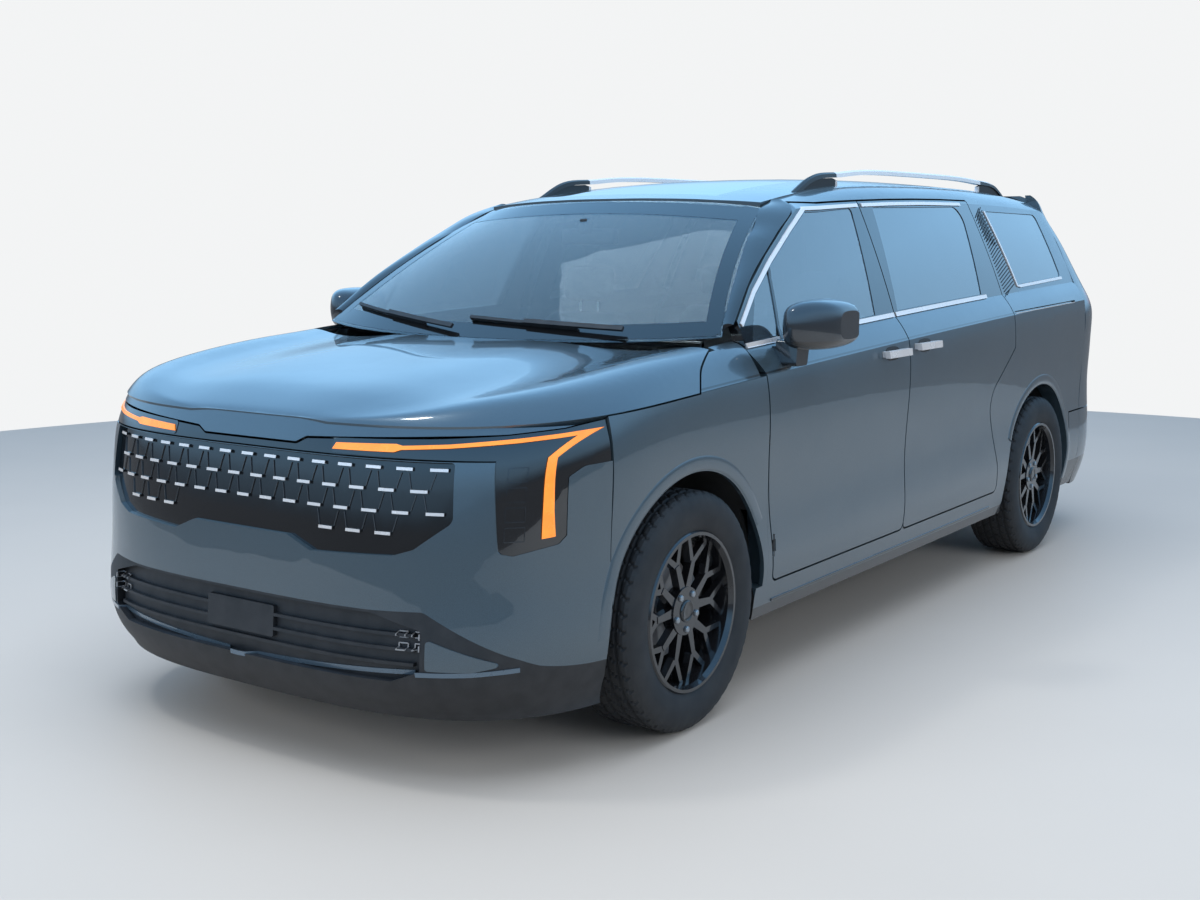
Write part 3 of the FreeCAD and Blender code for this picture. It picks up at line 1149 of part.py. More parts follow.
dash = prism([
    (-1249.7, 660.0, 0), (-1000.0, 640.0, 60), (-880.0, 900.0, 50), (-950.0, 1090.0, 60), (-1249.7, 1110.0, 0),
], "x", -764.0, 764.0)
console = block((-130, 130), (-1100, -380), (CABIN_FLOOR + 0.3, 690))

COLUMN = Vector(400, -830, 985)
COLUMN_WAY = Vector(0, 0.90, 0.43)
ring = Part.makeTorus(180, 16, COLUMN, COLUMN_WAY)
boss = rod(48, 50, COLUMN - COLUMN_WAY * 45, COLUMN_WAY)
bars = block((215, 585), (-846, -832), (968, 992))
shaft_room = rod(10 + BEARING, 50, COLUMN - COLUMN_WAY * 55, COLUMN_WAY)
keep("steering_wheel", ring.fuse([boss, bars]).cut(shaft_room))
column = rod(36, 160, COLUMN - COLUMN_WAY * 210, COLUMN_WAY)
column = column.fuse(rod(10, 60, COLUMN - COLUMN_WAY * 72, COLUMN_WAY))
dash = dash.fuse(column)


keep("dashboard", dash.fuse(console))


# Mirrors, handles and trims

MIRROR_RINGS = (
    (978.0, -1010.0, 1206.0, 96.0, 60.0), (996.0, -1010.0, 1206.0, 128.0, 72.0), (1030.0, -1003.0, 1208.0, 142.0, 80.0),
    (1075.0, -985.0, 1209.0, 132.0, 80.0), (1110.0, -960.0, 1208.0, 108.0, 70.0), (1133.0, -935.0, 1206.0, 72.0, 46.0),
)


def mirror_ring(x, y, z, reach, rise):
    """Rounded closed section of the mirror's housing."""
    points = []
    for step in range(16):
        angle = math.radians(22.5 * step + 11.25)
        across, up = math.cos(angle), math.sin(angle)
        points.append(Vector(x, y + reach * math.copysign(abs(across) ** 0.55, across), z + rise * math.copysign(abs(up) ** 0.6, up)))
    curve = Part.BSplineCurve()
    curve.interpolate(points, PeriodicFlag=True)
    return Part.Wire([curve.toShape()])


head = Part.makeLoft([mirror_ring(*row) for row in MIRROR_RINGS], True, False)
head = head.cut(block((900, 1200), (-872, -700), (1000, 1400)))
head = head.cut(prism([(1002.0, 1146.0, 16), (1122.0, 1150.0, 16), (1120.0, 1266.0, 20), (1002.0, 1272.0, 16)], "y", -880.0, -860.0))
stalk = prism([(-1100.0, 1075.0, 12), (-1020.0, 1075.0, 12), (-1000.0, 1160.0, 12), (-1085.0, 1160.0, 12)], "x", 880.0, 1020.0)
mirror = head.fuse(stalk).cut(side_wall(-0.3, 80.0))

trim_skin = side_wall(-4.5, -0.3)
PILLAR_TRIM = [(y + 5, z - 14) for y, z in PILLAR_LINE[-1::-1]] + [(-425.0, window_z(-425.0) + 3)]
front_top = ribbon(PILLAR_TRIM + [(y, window_z(y) + 3) for y in (-320.0, -200.0, SPLIT + 8)], 13.0)
front_belt = ribbon([(y, belt_z(y) + 15) for y in (FRONT_EDGE - 40, -900.0, -500.0, SPLIT - GAP)], 15.0)
door_trim = [trim_skin.common(prism(points, *LEFT)) for points in (front_top, front_belt)]
mirror = mirror.cut(block((860, 940), (-1200, -900), (1138, 1400)))
mirror = max(mirror.Solids, key=lambda solid: solid.Volume)
keep("mirror_left", mirror)
keep("mirror_right", mirrored(mirror))
keep("door_trim_left", Part.Compound(door_trim))
keep("door_trim_right", Part.Compound([mirrored(one) for one in door_trim]))
rear_top = ribbon([(y, window_z(y) + 3) for y in (SPLIT + 45, 200.0, 500.0, REAR_EDGE - 100)], 13.0)
rear_belt = ribbon([(y, belt_z(y) + 15) for y in (SPLIT + GAP + 3, 200.0, 500.0, REAR_EDGE - 190)], 15.0)
quarter_front = ribbon([(1196.0, 1600.0), (1253.0, 1262.0), (1290.0, 1256.0), (1893.0, 1278.0)][::-1], 12.0)
rear_trim = [trim_skin.common(prism(points, *LEFT)) for points in (rear_top, rear_belt, quarter_front)]
keep("window_trim", Part.Compound(rear_trim + [mirrored(one) for one in rear_trim]))

handle_skin = side_wall(-34.0, -16.0)
handle_foot = side_wall(-20.0, -0.3)


def handle(start, end):
    """A pull handle standing off the skin, between two places."""
    height = crease_z((start + end) / 2) - 46
    bar = handle_skin.common(block((800, 1200), (start, end), (height, height + 26)))
    for y in (start + 8, end - 34):
        bar = bar.fuse(handle_foot.common(block((800, 1200), (y, y + 26), (height + 2, height + 24))))
    return bar


front_handle, slide_handle = handle(-360.0, -160.0), handle(-70.0, 130.0)
keep("handle_front_left", front_handle)
keep("handle_front_right", mirrored(front_handle))
keep("slide_handles", pair(slide_handle))


# Write the pieces

doc.recompute()
os.makedirs("parts", exist_ok=True)
for feature in doc.Objects:
    if "Invalid" in feature.State or "Error" in feature.State:
        raise RuntimeError(f"{feature.Name}: {feature.State}")
for name, feature in pieces.items():
    shape = feature.Shape
    if shape.isNull() or not shape.isValid() or not shape.Solids:
        raise RuntimeError(f"{name} has no sound shape")
    shape.exportStep(f"parts/{name}.step")
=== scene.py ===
import json
import math

import bmesh
import bpy
from mathutils import Matrix, Vector
from mathutils.bvhtree import BVHTree


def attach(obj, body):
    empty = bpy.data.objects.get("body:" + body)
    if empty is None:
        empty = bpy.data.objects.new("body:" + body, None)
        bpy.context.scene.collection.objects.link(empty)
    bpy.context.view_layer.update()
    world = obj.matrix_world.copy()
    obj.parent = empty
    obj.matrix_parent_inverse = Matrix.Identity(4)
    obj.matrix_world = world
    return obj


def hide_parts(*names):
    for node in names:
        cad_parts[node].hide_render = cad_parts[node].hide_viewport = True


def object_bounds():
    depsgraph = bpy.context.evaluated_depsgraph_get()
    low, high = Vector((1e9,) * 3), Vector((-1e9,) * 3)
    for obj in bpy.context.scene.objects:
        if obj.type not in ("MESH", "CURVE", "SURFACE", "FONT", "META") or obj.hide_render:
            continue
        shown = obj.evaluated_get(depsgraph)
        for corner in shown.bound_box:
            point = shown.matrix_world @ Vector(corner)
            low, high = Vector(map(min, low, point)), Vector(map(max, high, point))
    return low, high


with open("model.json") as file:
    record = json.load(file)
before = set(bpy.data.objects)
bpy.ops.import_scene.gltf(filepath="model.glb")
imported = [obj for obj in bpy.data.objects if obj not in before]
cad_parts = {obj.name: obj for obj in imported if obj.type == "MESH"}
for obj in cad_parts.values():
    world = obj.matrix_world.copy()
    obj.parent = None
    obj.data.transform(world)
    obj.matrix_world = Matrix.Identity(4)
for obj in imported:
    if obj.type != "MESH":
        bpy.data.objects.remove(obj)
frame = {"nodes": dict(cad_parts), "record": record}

CAD_BOX = [list(corner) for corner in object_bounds()]
NODES = frame["nodes"]
scene = bpy.context.scene
scene.view_settings.view_transform = "Standard"


# ---------------------------------------------------------------- materials


def new_material(name, colour, rough, metal=0.0, coat=0.0, coat_rough=0.03, ior=1.5, transmission=0.0):
    mat = bpy.data.materials.new(name)
    mat.use_nodes = True
    bsdf = mat.node_tree.nodes["Principled BSDF"]
    bsdf.inputs["Base Color"].default_value = (*colour, 1.0)
    bsdf.inputs["Roughness"].default_value = rough
    bsdf.inputs["Metallic"].default_value = metal
    bsdf.inputs["Coat Weight"].default_value = coat
    bsdf.inputs["Coat Roughness"].default_value = coat_rough
    bsdf.inputs["IOR"].default_value = ior
    bsdf.inputs["Transmission Weight"].default_value = transmission
    bsdf.inputs["Specular IOR Level"].default_value = 0.5
    mat.diffuse_color = (*colour, 1.0)
    return mat


def node(mat, kind, **inputs):
    made = mat.node_tree.nodes.new(kind)
    for key, value in inputs.items():
        made.inputs[key.replace("_", " ")].default_value = value
    return made


def link(mat, out, into):
    mat.node_tree.links.new(out, into)


def bsdf_of(mat):
    return mat.node_tree.nodes["Principled BSDF"]


def vary_colour(mat, dark, light, scale, detail=3.0, socket="Base Color"):
    """A colour wanders between two near colours, at the given scale in metres."""
    where = node(mat, "ShaderNodeTexCoord")
    noise = node(mat, "ShaderNodeTexNoise", Scale=1.0 / scale, Detail=detail)
    ramp = node(mat, "ShaderNodeValToRGB")
    ramp.color_ramp.elements[0].position = 0.35
    ramp.color_ramp.elements[1].position = 0.65
    ramp.color_ramp.elements[0].color = (*dark, 1.0)
    ramp.color_ramp.elements[1].color = (*light, 1.0)
    link(mat, where.outputs["Object"], noise.inputs["Vector"])
    link(mat, noise.outputs["Fac"], ramp.inputs["Fac"])
    link(mat, ramp.outputs["Color"], bsdf_of(mat).inputs[socket])


def vary_rough(mat, low, high, scale):
    """Roughness wanders between low and high, at the given scale in metres."""
    where = node(mat, "ShaderNodeTexCoord")
    noise = node(mat, "ShaderNodeTexNoise", Scale=1.0 / scale, Detail=4.0)
    spread = node(mat, "ShaderNodeMapRange")
    spread.inputs["From Min"].default_value = 0.3
    spread.inputs["From Max"].default_value = 0.7
    spread.inputs["To Min"].default_value = low
    spread.inputs["To Max"].default_value = high
    link(mat, where.outputs["Object"], noise.inputs["Vector"])
    link(mat, noise.outputs["Fac"], spread.inputs["Value"])
    link(mat, spread.outputs["Result"], bsdf_of(mat).inputs["Roughness"])


def grain(mat, scale, strength, distance=0.0004, kind="ShaderNodeTexNoise"):
    """Fine bump, its grain size in metres."""
    where = node(mat, "ShaderNodeTexCoord")
    pattern = node(mat, kind, Scale=1.0 / scale)
    bump = node(mat, "ShaderNodeBump", Strength=strength, Distance=distance)
    link(mat, where.outputs["Object"], pattern.inputs["Vector"])
    link(mat, pattern.outputs[0], bump.inputs["Height"])
    link(mat, bump.outputs["Normal"], bsdf_of(mat).inputs["Normal"])


PAINT = new_material("paint_slate", (0.054, 0.088, 0.116), 0.34, metal=0.40, coat=1.0, coat_rough=0.015)
vary_colour(PAINT, (0.044, 0.072, 0.097), (0.060, 0.098, 0.130), 0.0011, detail=1.0)
vary_rough(PAINT, 0.29, 0.37, 0.35)

GLOSS_COLOUR = (0.006, 0.007, 0.009)
MATTE_COLOUR = (0.014, 0.015, 0.017)
BLACK_GLOSS = new_material("gloss_black", GLOSS_COLOUR, 0.10, coat=0.6)
vary_rough(BLACK_GLOSS, 0.07, 0.14, 0.22)

BLACK_MATTE = new_material("grained_black", MATTE_COLOUR, 0.56)
vary_colour(BLACK_MATTE, (0.011, 0.012, 0.014), (0.019, 0.020, 0.023), 0.05)
grain(BLACK_MATTE, 0.0016, 0.35)

SATIN = new_material("satin_bright", (0.70, 0.72, 0.76), 0.26, metal=0.35)
vary_rough(SATIN, 0.18, 0.30, 0.08)

DARK_CHROME = new_material("dark_chrome", (0.30, 0.32, 0.35), 0.22, metal=0.5)
vary_rough(DARK_CHROME, 0.18, 0.28, 0.05)

TYRE = new_material("tyre_rubber", (0.012, 0.012, 0.013), 0.72)
vary_colour(TYRE, (0.010, 0.010, 0.011), (0.018, 0.018, 0.019), 0.09)
grain(TYRE, 0.0022, 0.25)

WHEEL = new_material("wheel_black", (0.013, 0.014, 0.017), 0.22, metal=0.35, coat=0.8, coat_rough=0.05)
vary_rough(WHEEL, 0.18, 0.28, 0.06)

UNDER = new_material("underbody", (0.020, 0.021, 0.022), 0.70)
vary_colour(UNDER, (0.014, 0.015, 0.016), (0.030, 0.030, 0.031), 0.12)
grain(UNDER, 0.004, 0.4)

CAST = new_material("cast_metal", (0.36, 0.37, 0.38), 0.48, metal=0.9)
vary_rough(CAST, 0.40, 0.58, 0.03)
grain(CAST, 0.003, 0.3)

STEEL = new_material("dark_steel", (0.12, 0.12, 0.125), 0.45, metal=0.8)
vary_rough(STEEL, 0.35, 0.55, 0.05)

LEATHER = new_material("seat_leather", (0.020, 0.021, 0.024), 0.50)
vary_colour(LEATHER, (0.016, 0.017, 0.019), (0.030, 0.031, 0.035), 0.06)
grain(LEATHER, 0.0030, 0.5, kind="ShaderNodeTexVoronoi")

DASH = new_material("dash_soft_touch", (0.022, 0.024, 0.027), 0.60)
vary_colour(DASH, (0.018, 0.020, 0.022), (0.030, 0.032, 0.036), 0.10)
grain(DASH, 0.0020, 0.4)

LAMP_LENS = new_material("lamp_smoked", (0.006, 0.007, 0.009), 0.05, coat=1.0, coat_rough=0.0)
vary_rough(LAMP_LENS, 0.04, 0.08, 0.05)

RED_LENS = new_material("tail_red", (0.22, 0.006, 0.008), 0.08, coat=1.0, coat_rough=0.01)
vary_colour(RED_LENS, (0.16, 0.004, 0.006), (0.30, 0.010, 0.012), 0.01)


def new_glass(name, colour, coat, ior, transmission, coat_ior):
    glass = new_material(name, colour, 0.0, coat=coat, coat_rough=0.0, ior=ior, transmission=transmission)
    bsdf_of(glass).inputs["Coat IOR"].default_value = coat_ior
    vary_rough(glass, 0.0, 0.012, 0.3)
    return glass


SCREEN = new_glass("glass_screen", (0.50, 0.64, 0.72), 0.6, 1.45, 1.0, 1.6)
PRIVACY = new_glass("glass_privacy", (0.030, 0.042, 0.055), 1.0, 1.6, 0.55, 2.1)
FRONT_GLASS = new_glass("glass_front_door", (0.14, 0.19, 0.24), 1.0, 1.5, 0.85, 1.9)

AMBER = new_material("lit_amber", (0.45, 0.13, 0.015), 0.25)
vary_rough(AMBER, 0.18, 0.32, 0.02)
vary_colour(AMBER, (0.92, 0.26, 0.040), (1.0, 0.34, 0.050), 1 / 18, detail=2.0, socket="Emission Color")
bsdf_of(AMBER).inputs["Emission Strength"].default_value = 0.92

BY_SLOT = {
    "body_paint": PAINT,
    "black_gloss": BLACK_GLOSS,
    "black_matte": BLACK_MATTE,
    "lamp_lens": LAMP_LENS,
    "red_lens": RED_LENS,
    "clear_glass": SCREEN,
    "dark_glass": PRIVACY,
    "satin_metal": SATIN,
    "underbody": UNDER,
    "cast_metal": CAST,
    "steel": STEEL,
    "seat_fabric": LEATHER,
    "tyre": TYRE,
    "wheel_black": WHEEL,
    "amber_lamp": AMBER,
}
BY_NODE = {"dashboard": DASH, "door_glass_left": FRONT_GLASS, "door_glass_right": FRONT_GLASS}


def dress(obj, mat):
    if obj.material_slots:
        for slot in obj.material_slots:
            slot.material = mat
    else:
        obj.data.materials.append(mat)


SLOT_OF = {}
for row in frame["record"].get("materials", []):
    for name in row.get("nodes", []):
        SLOT_OF[name] = row.get("slot")
for name, obj in NODES.items():
    made = [s.material.name.split(".")[0] for s in obj.material_slots if s.material]
    slot = SLOT_OF.get(name) or (made[0] if made else "body_paint")
    dress(obj, BY_NODE.get(name) or BY_SLOT.get(slot) or PAINT)


# ---------------------------------------------------------------- helpers


def mesh_piece(name, verts, faces, mat, body, smooth=True):
    mesh = bpy.data.meshes.new(name)
    mesh.from_pydata([tuple(v) for v in verts], [], faces)
    mesh.validate()
    mesh.update()
    obj = bpy.data.objects.new(name, mesh)
    scene.collection.objects.link(obj)
    obj.data.materials.append(mat)
    for polygon in mesh.polygons:
        polygon.use_smooth = smooth
    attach(obj, body)
    return obj


def tree_of(names):
    """Search tree over the triangles of several nodes."""
    verts, faces = [], []
    for name in names:
        if name not in NODES:
            continue
        mesh = NODES[name].data
        base = len(verts)
        verts += [v.co.copy() for v in mesh.vertices]
        faces += [[base + i for i in p.vertices] for p in mesh.polygons]
    return BVHTree.FromPolygons(verts, faces)


SIDE_TREE = tree_of([
    "side_frame_left", "door_front_left", "sliding_door_left", "fender_left", "bumper_front", "bumper_rear",
    "lower_lip", "headlamps", "door_glass_left", "side_glass",
])
NOSE_TREE = tree_of([
    "bumper_front", "grille", "lower_lip", "lower_intake", "headlamps", "fender_left", "fender_right",
])


def side_skin(y, z):
    """(point, normal) on the left side's skin."""
    best = None
    for dy, dz in ((0, 0), (0.009, 0), (-0.009, 0), (0, 0.009), (0, -0.009)):
        hit, normal, _, _ = SIDE_TREE.ray_cast(Vector((1.6, y + dy, z + dz)), Vector((-1, 0, 0)))
        if hit and (best is None or hit.x > best[0].x + 0.004):
            best = (Vector((hit.x, y, z)), normal if normal.x > 0 else -normal)
    return best


def nose_skin(x, z):
    """(point, normal) on the nose, seen from the front."""
    best = None
    for dx, dz in ((0, 0), (0.007, 0), (-0.007, 0)):
        hit, normal, _, _ = NOSE_TREE.ray_cast(Vector((x + dx, -3.2, z + dz)), Vector((0, 1, 0)))
        if hit and (best is None or hit.y < best[0].y - 0.02):
            best = (Vector((x, hit.y, z)), normal if normal.y < 0 else -normal)
    return best


def ring_quads(rings, count, base=0):
    """Faces between neighbouring rings of count vertices each."""
    faces = []
    for ring in range(rings - 1):
        for j in range(count):
            a, b = base + ring * count + j, base + ring * count + (j + 1) % count
            faces.append([a, b, b + count, a + count])
    return faces


def bar_faces(rings, count):
    """Faces of a closed bar: its sides and both ends."""
    last = (rings - 1) * count
    return ring_quads(rings, count) + [list(range(count))[::-1], [last + j for j in range(count)]]


def sheet_quads(rows, count):
    """Faces of an open sheet of rows of count vertices each."""
    corners = [i * count + k for i in range(rows - 1) for k in range(count - 1)]
    return [[a, a + count, a + count + 1, a + 1] for a in corners]


def gather(parts):
    """Several pieces' vertices and faces as one piece's."""
    verts, faces = [], []
    for v, f in parts:
        base = len(verts)
        verts += v
        faces += [[base + i for i in face] for face in f]
    return verts, faces


def strip(skin, points, half_high, lift, thick, samples, section):
    """A thin plate that follows a skin along points; thick is measured outward from lift."""
    spine = []
    for (u0, v0), (u1, v1) in zip(points[:-1], points[1:]):
        for k in range(samples):
            t = k / samples
            spine.append((u0 + (u1 - u0) * t, v0 + (v1 - v0) * t))
    spine.append(points[-1])
    centres, ways = [], []
    for u, v in spine:
        hit = skin(u, v)
        if hit:
            centres.append(hit[0] + hit[1] * (lift + thick / 2))
            ways.append(hit[1])
    verts = []
    for i, p in enumerate(centres):
        before, after = centres[max(i - 1, 0)], centres[min(i + 1, len(centres) - 1)]
        rise = (after - before).normalized().cross(ways[i]).normalized()
        for a, b in section:
            verts.append(p + rise * (a * half_high) + ways[i] * (b * thick / 2))
    return verts, bar_faces(len(centres), 4)


def box_between(points, up, half_wide, half_high):
    """Vertices and faces of a bar that follows points, with up the direction of its height."""
    verts = []
    for i, p in enumerate(points):
        before, after = points[max(i - 1, 0)], points[min(i + 1, len(points) - 1)]
        along = (after - before).normalized()
        out = along.cross(up).normalized()
        lift = out.cross(along).normalized()
        for a, b in ((-1, -1), (1, -1), (1, 1), (-1, 1)):
            verts.append(p + out * (a * half_wide) + lift * (b * half_high))
    return verts, bar_faces(len(points), 4)


def flip(verts, faces):
    """The mirror image of a piece's vertices and faces."""
    return [Vector((-v.x, v.y, v.z)) for v in verts], [f[::-1] for f in faces]


def both_sides(name, verts, faces, mat, body, smooth=False):
    """The piece and its mirror image, as two named pieces; body may be a (left, right) pair."""
    left, right = body if isinstance(body, tuple) else (body, body)
    mesh_piece(name + "_left", verts, faces, mat, left, smooth)
    mesh_piece(name + "_right", *flip(verts, faces), mat, right, smooth)


# ---------------------------------------------------------------- tyres

TYRE_PROFILE = [  # (distance from the tyre's middle, radius), from bead to shoulder
    (0.0975, 0.2413), (0.1055, 0.252), (0.1110, 0.268), (0.1165, 0.292), (0.1172, 0.310), (0.1150, 0.330),
    (0.1100, 0.347), (0.1030, 0.3575),
]
TREAD_GROOVES = (0.0, 0.036, 0.070)
TREAD_HALF = 0.0975
AROUND = 288
HUB_Z = 0.37
TYRE_X = 0.8675


def build_tyre(name, centre_x, centre_y, side, body):
    """Tyre with four ribs, shoulder blocks and sipes; side is +1 on the left."""
    crown = []
    for i in range(59):
        a = TREAD_HALF - TREAD_HALF * 2 * i / 58
        out = abs(a) / TREAD_HALF
        crown.append((a, 0.3698 - 0.0020 * out ** 2 - 0.0037 * max(0, out - 0.86) / 0.14))
    outline = list(TYRE_PROFILE)
    outline += [(a, r) for a, r in crown if abs(a) < 0.0952]
    outline += [(-a, r) for a, r in TYRE_PROFILE[::-1]]
    outline += [(-0.060, 0.2410), (0.060, 0.2410)]
    verts, faces = [], []
    count = len(outline)
    for step in range(AROUND):
        angle = 2 * math.pi * step / AROUND
        for a, r in outline:
            depth = 0.0
            if abs(a) < 0.0952 and r > 0.30:
                lane = min(abs(abs(a) - g) for g in TREAD_GROOVES)
                if lane < 0.0046:
                    depth = 0.0075
                else:
                    shift = 2 if abs(a) > 0.070 else (4 if a > 0 else 1)
                    phase = (step + shift + int(abs(a) * 90)) % 6
                    if phase == 0:
                        depth = 0.0058
            elif 0.330 < r < 0.362 and (step // 2) % 3 == 0:
                depth = 0.0022
            radius = r - depth
            y, z = centre_y + radius * math.sin(angle), HUB_Z + radius * math.cos(angle)
            verts.append((centre_x + side * a, y, z))
    for step in range(AROUND):
        for i in range(count):
            onward = ((step + 1) % AROUND) * count
            a, b = step * count + i, step * count + (i + 1) % count
            c, d = onward + (i + 1) % count, onward + i
            faces.append([a, b, c, d] if side < 0 else [d, c, b, a])
    obj = mesh_piece(name, verts, faces, TYRE, body, smooth=False)
    for polygon in obj.data.polygons:
        r = math.hypot(polygon.center.y - centre_y, polygon.center.z - HUB_Z)
        polygon.use_smooth = r < 0.352
    return obj


WHEELS = {"front": -1.6425, "rear": 1.4475}
for at, y in WHEELS.items():
    for side_name, sign in (("left", 1), ("right", -1)):
        tyre = build_tyre(f"tread_{at}_{side_name}", sign * TYRE_X, y, sign, f"wheel_{at}_{side_name}")
        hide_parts(f"tyre_{at}_{side_name}")


# ---------------------------------------------------------------- wheels

NUT_RINGS = ((0.940, 0.0115), (0.9525, 0.0105), (0.9545, 0.0080))  # (x, radius)
CAP_RINGS = (
    (0.947, 0.0345), (0.9515, 0.0335), (0.9535, 0.0300), (0.9535, 0.0285), (0.9520, 0.0270), (0.9530, 0.012),
    (0.9532, 0.0),
)
NUT_CIRCLE = 0.057


def soften(obj, width, segments, degrees):
    """Round off the edges that are sharper than an angle."""
    bevel = obj.modifiers.new("edge", "BEVEL")
    bevel.width = width
    bevel.segments = segments
    bevel.limit_method = "ANGLE"
    bevel.angle_limit = math.radians(degrees)


def turned(rings, count, sign, centre_y, centre_z):
    """Vertices of rings round a line along X."""
    verts = []
    for x, r in rings:
        for j in range(count):
            turn = 2 * math.pi * j / count
            verts.append(Vector((sign * x, centre_y + r * math.sin(turn), centre_z + r * math.cos(turn))))
    return verts


for at, y in WHEELS.items():
    for side_name, sign in (("left", 1), ("right", -1)):
        soften(NODES[f"rim_{at}_{side_name}"], 0.0022, 2, 35)
        verts, faces = [], []
        for k in range(5):
            angle = math.radians(72 * k + 36)
            base = len(verts)
            nut_y, nut_z = y + NUT_CIRCLE * math.sin(angle), HUB_Z + NUT_CIRCLE * math.cos(angle)
            verts += turned(NUT_RINGS, 6, sign, nut_y, nut_z)
            faces += ring_quads(3, 6, base)
            faces.append([base + 12 + j for j in range(6)])
        body = f"wheel_{at}_{side_name}"
        mesh_piece(f"nuts_{at}_{side_name}", verts, faces, CAST, body, smooth=False)
        verts = turned(CAP_RINGS, 40, sign, y, HUB_Z)
        mesh_piece(f"hub_cap_{at}_{side_name}", verts, ring_quads(len(CAP_RINGS), 40), BLACK_GLOSS, body)


# ---------------------------------------------------------------- two-tone bodywork, with painted shade along the side crease and in the rail slot


def wire_math(mat, operation, a, b=None):
    """Output of a new maths node on two numbers or sockets."""
    made = mat.node_tree.nodes.new("ShaderNodeMath")
    made.operation = operation
    for slot_index, value in enumerate((a, b)):
        if value is None:
            continue
        if isinstance(value, (int, float)):
            made.inputs[slot_index].default_value = value
        else:
            mat.node_tree.links.new(value, made.inputs[slot_index])
    return made.outputs[0]


def axes_of(mat):
    """Object-space (|x|, y, z, inward-facing) sockets."""
    where = mat.node_tree.nodes.new("ShaderNodeTexCoord")
    split = mat.node_tree.nodes.new("ShaderNodeSeparateXYZ")
    mat.node_tree.links.new(where.outputs["Object"], split.inputs[0])
    turn = mat.node_tree.nodes.new("ShaderNodeSeparateXYZ")
    mat.node_tree.links.new(where.outputs["Normal"], turn.inputs[0])
    across = wire_math(mat, "ABSOLUTE", split.outputs["X"])
    facing = wire_math(mat, "MULTIPLY", split.outputs["X"], turn.outputs["X"])
    inward = wire_math(mat, "LESS_THAN", facing, -0.15)
    return across, split.outputs["Y"], split.outputs["Z"], inward


def line_at(mat, y, lines):
    """Lowest of the straight lines (y0, z0, slope) at y."""
    result = None
    for y0, z0, slope in lines:
        value = wire_math(mat, "ADD", wire_math(mat, "MULTIPLY", y, slope), z0 - slope * y0)
        result = value if result is None else wire_math(mat, "MINIMUM", result, value)
    return result


def repainted(base, name):
    """A copy of a material, a function for node maths on it, and its axes."""
    mat = base.copy()
    mat.name = name

    def calc(operation, a, b=None):
        return wire_math(mat, operation, a, b)

    return mat, calc, *axes_of(mat)


def repaint(mat, mask, colour, metallic, rough):
    """Where mask is 1 the surface has the other colour, metallic and roughness."""
    bsdf = bsdf_of(mat)
    tree = mat.node_tree
    for key, value, kind, first, out in (
        ("Base Color", (*colour, 1), "RGBA", 6, 2),
        ("Metallic", metallic, "FLOAT", 2, 0),
        ("Roughness", rough, "FLOAT", 2, 0),
    ):
        blend = tree.nodes.new("ShaderNodeMix")
        blend.data_type = kind
        old = bsdf.inputs[key].links
        if old:
            tree.links.new(old[0].from_socket, blend.inputs[first])
        else:
            blend.inputs[first].default_value = bsdf.inputs[key].default_value
        blend.inputs[first + 1].default_value = value
        tree.links.new(mask, blend.inputs[0])
        tree.links.new(blend.outputs[out], bsdf.inputs[key])


BELT = [(-1.24, 1.1420, 0.0429), (-0.116, 1.1902, 0.0334)]
TOPS = [
    (-0.55, 1.609, 0.076), (-0.30, 1.628, 0.0204), (0.24, 1.639, 0.0118),
    (-0.548, 1.608, 0.462), (-0.719, 1.529, 0.495), (-0.923, 1.428, 0.565), (-1.10, 1.328, 0.714),
]
# Painted shade: colour of the dark line under the side crease, where its shadow falls.
CREASE_SHADE_COLOUR = (0.006, 0.009, 0.013)


def crease_shade_mask(calc, y, z):
    """Painted shade: a dark thin line under the side crease, from wing to rail slot, standing in for the
    crease's shadow line.
    """
    t = calc("MULTIPLY", calc("ADD", y, 2.0625), 1 / 3.88)
    bow = calc("MULTIPLY", calc("MULTIPLY", t, calc("SUBTRACT", 1.0, t)), 0.048)
    line = calc("ADD", calc("MULTIPLY", t, 0.153), calc("ADD", bow, 1.0195))
    near = calc("LESS_THAN", calc("ABSOLUTE", calc("SUBTRACT", z, line)), 0.0030)
    near = calc("MULTIPLY", near, calc("LESS_THAN", y, 1.062))
    return calc("MULTIPLY", near, calc("GREATER_THAN", y, -2.02))


SIDE_PAINT, calc, across, along, height, inward = repainted(PAINT, "paint_and_black_frames")
mask = calc("GREATER_THAN", height, line_at(SIDE_PAINT, along, BELT))
mask = calc("MULTIPLY", mask, calc("LESS_THAN", height, line_at(SIDE_PAINT, along, TOPS)))
quarter = calc("ADD", calc("MULTIPLY", height, 0.17), along)
mask = calc("MULTIPLY", mask, calc("LESS_THAN", quarter, 1.194 + 0.17 * 1.600))
# Painted shade: the inside of the sliding-door rail slot is painted black for the shade in that recess.
slot = calc("GREATER_THAN", along, 1.064)
slot_line = calc("ADD", calc("MULTIPLY", along, 0.0214), 1.158 - 0.0214 * 1.062)
slot = calc("MULTIPLY", slot, calc("LESS_THAN", along, 1.904))
slot = calc("MULTIPLY", slot, calc("LESS_THAN", height, slot_line))
slot = calc("MULTIPLY", slot, calc("GREATER_THAN", height, calc("ADD", slot_line, -0.0112)))
repaint(SIDE_PAINT, calc("MAXIMUM", mask, slot), GLOSS_COLOUR, 0.0, 0.09)
inner_side = calc("MULTIPLY", inward, calc("LESS_THAN", height, 1.66))
repaint(SIDE_PAINT, inner_side, (0.030, 0.032, 0.036), 0.0, 0.62)
# Painted shade: a thin dark line along the side crease on doors and frame.
repaint(SIDE_PAINT, crease_shade_mask(calc, along, height), CREASE_SHADE_COLOUR, 0.0, 0.35)
repaint(SIDE_PAINT, calc("LESS_THAN", height, 0.292), MATTE_COLOUR, 0.0, 0.55)
for name in ("door_front", "sliding_door", "side_frame"):
    for side_name in ("left", "right"):
        dress(NODES[f"{name}_{side_name}"], SIDE_PAINT)

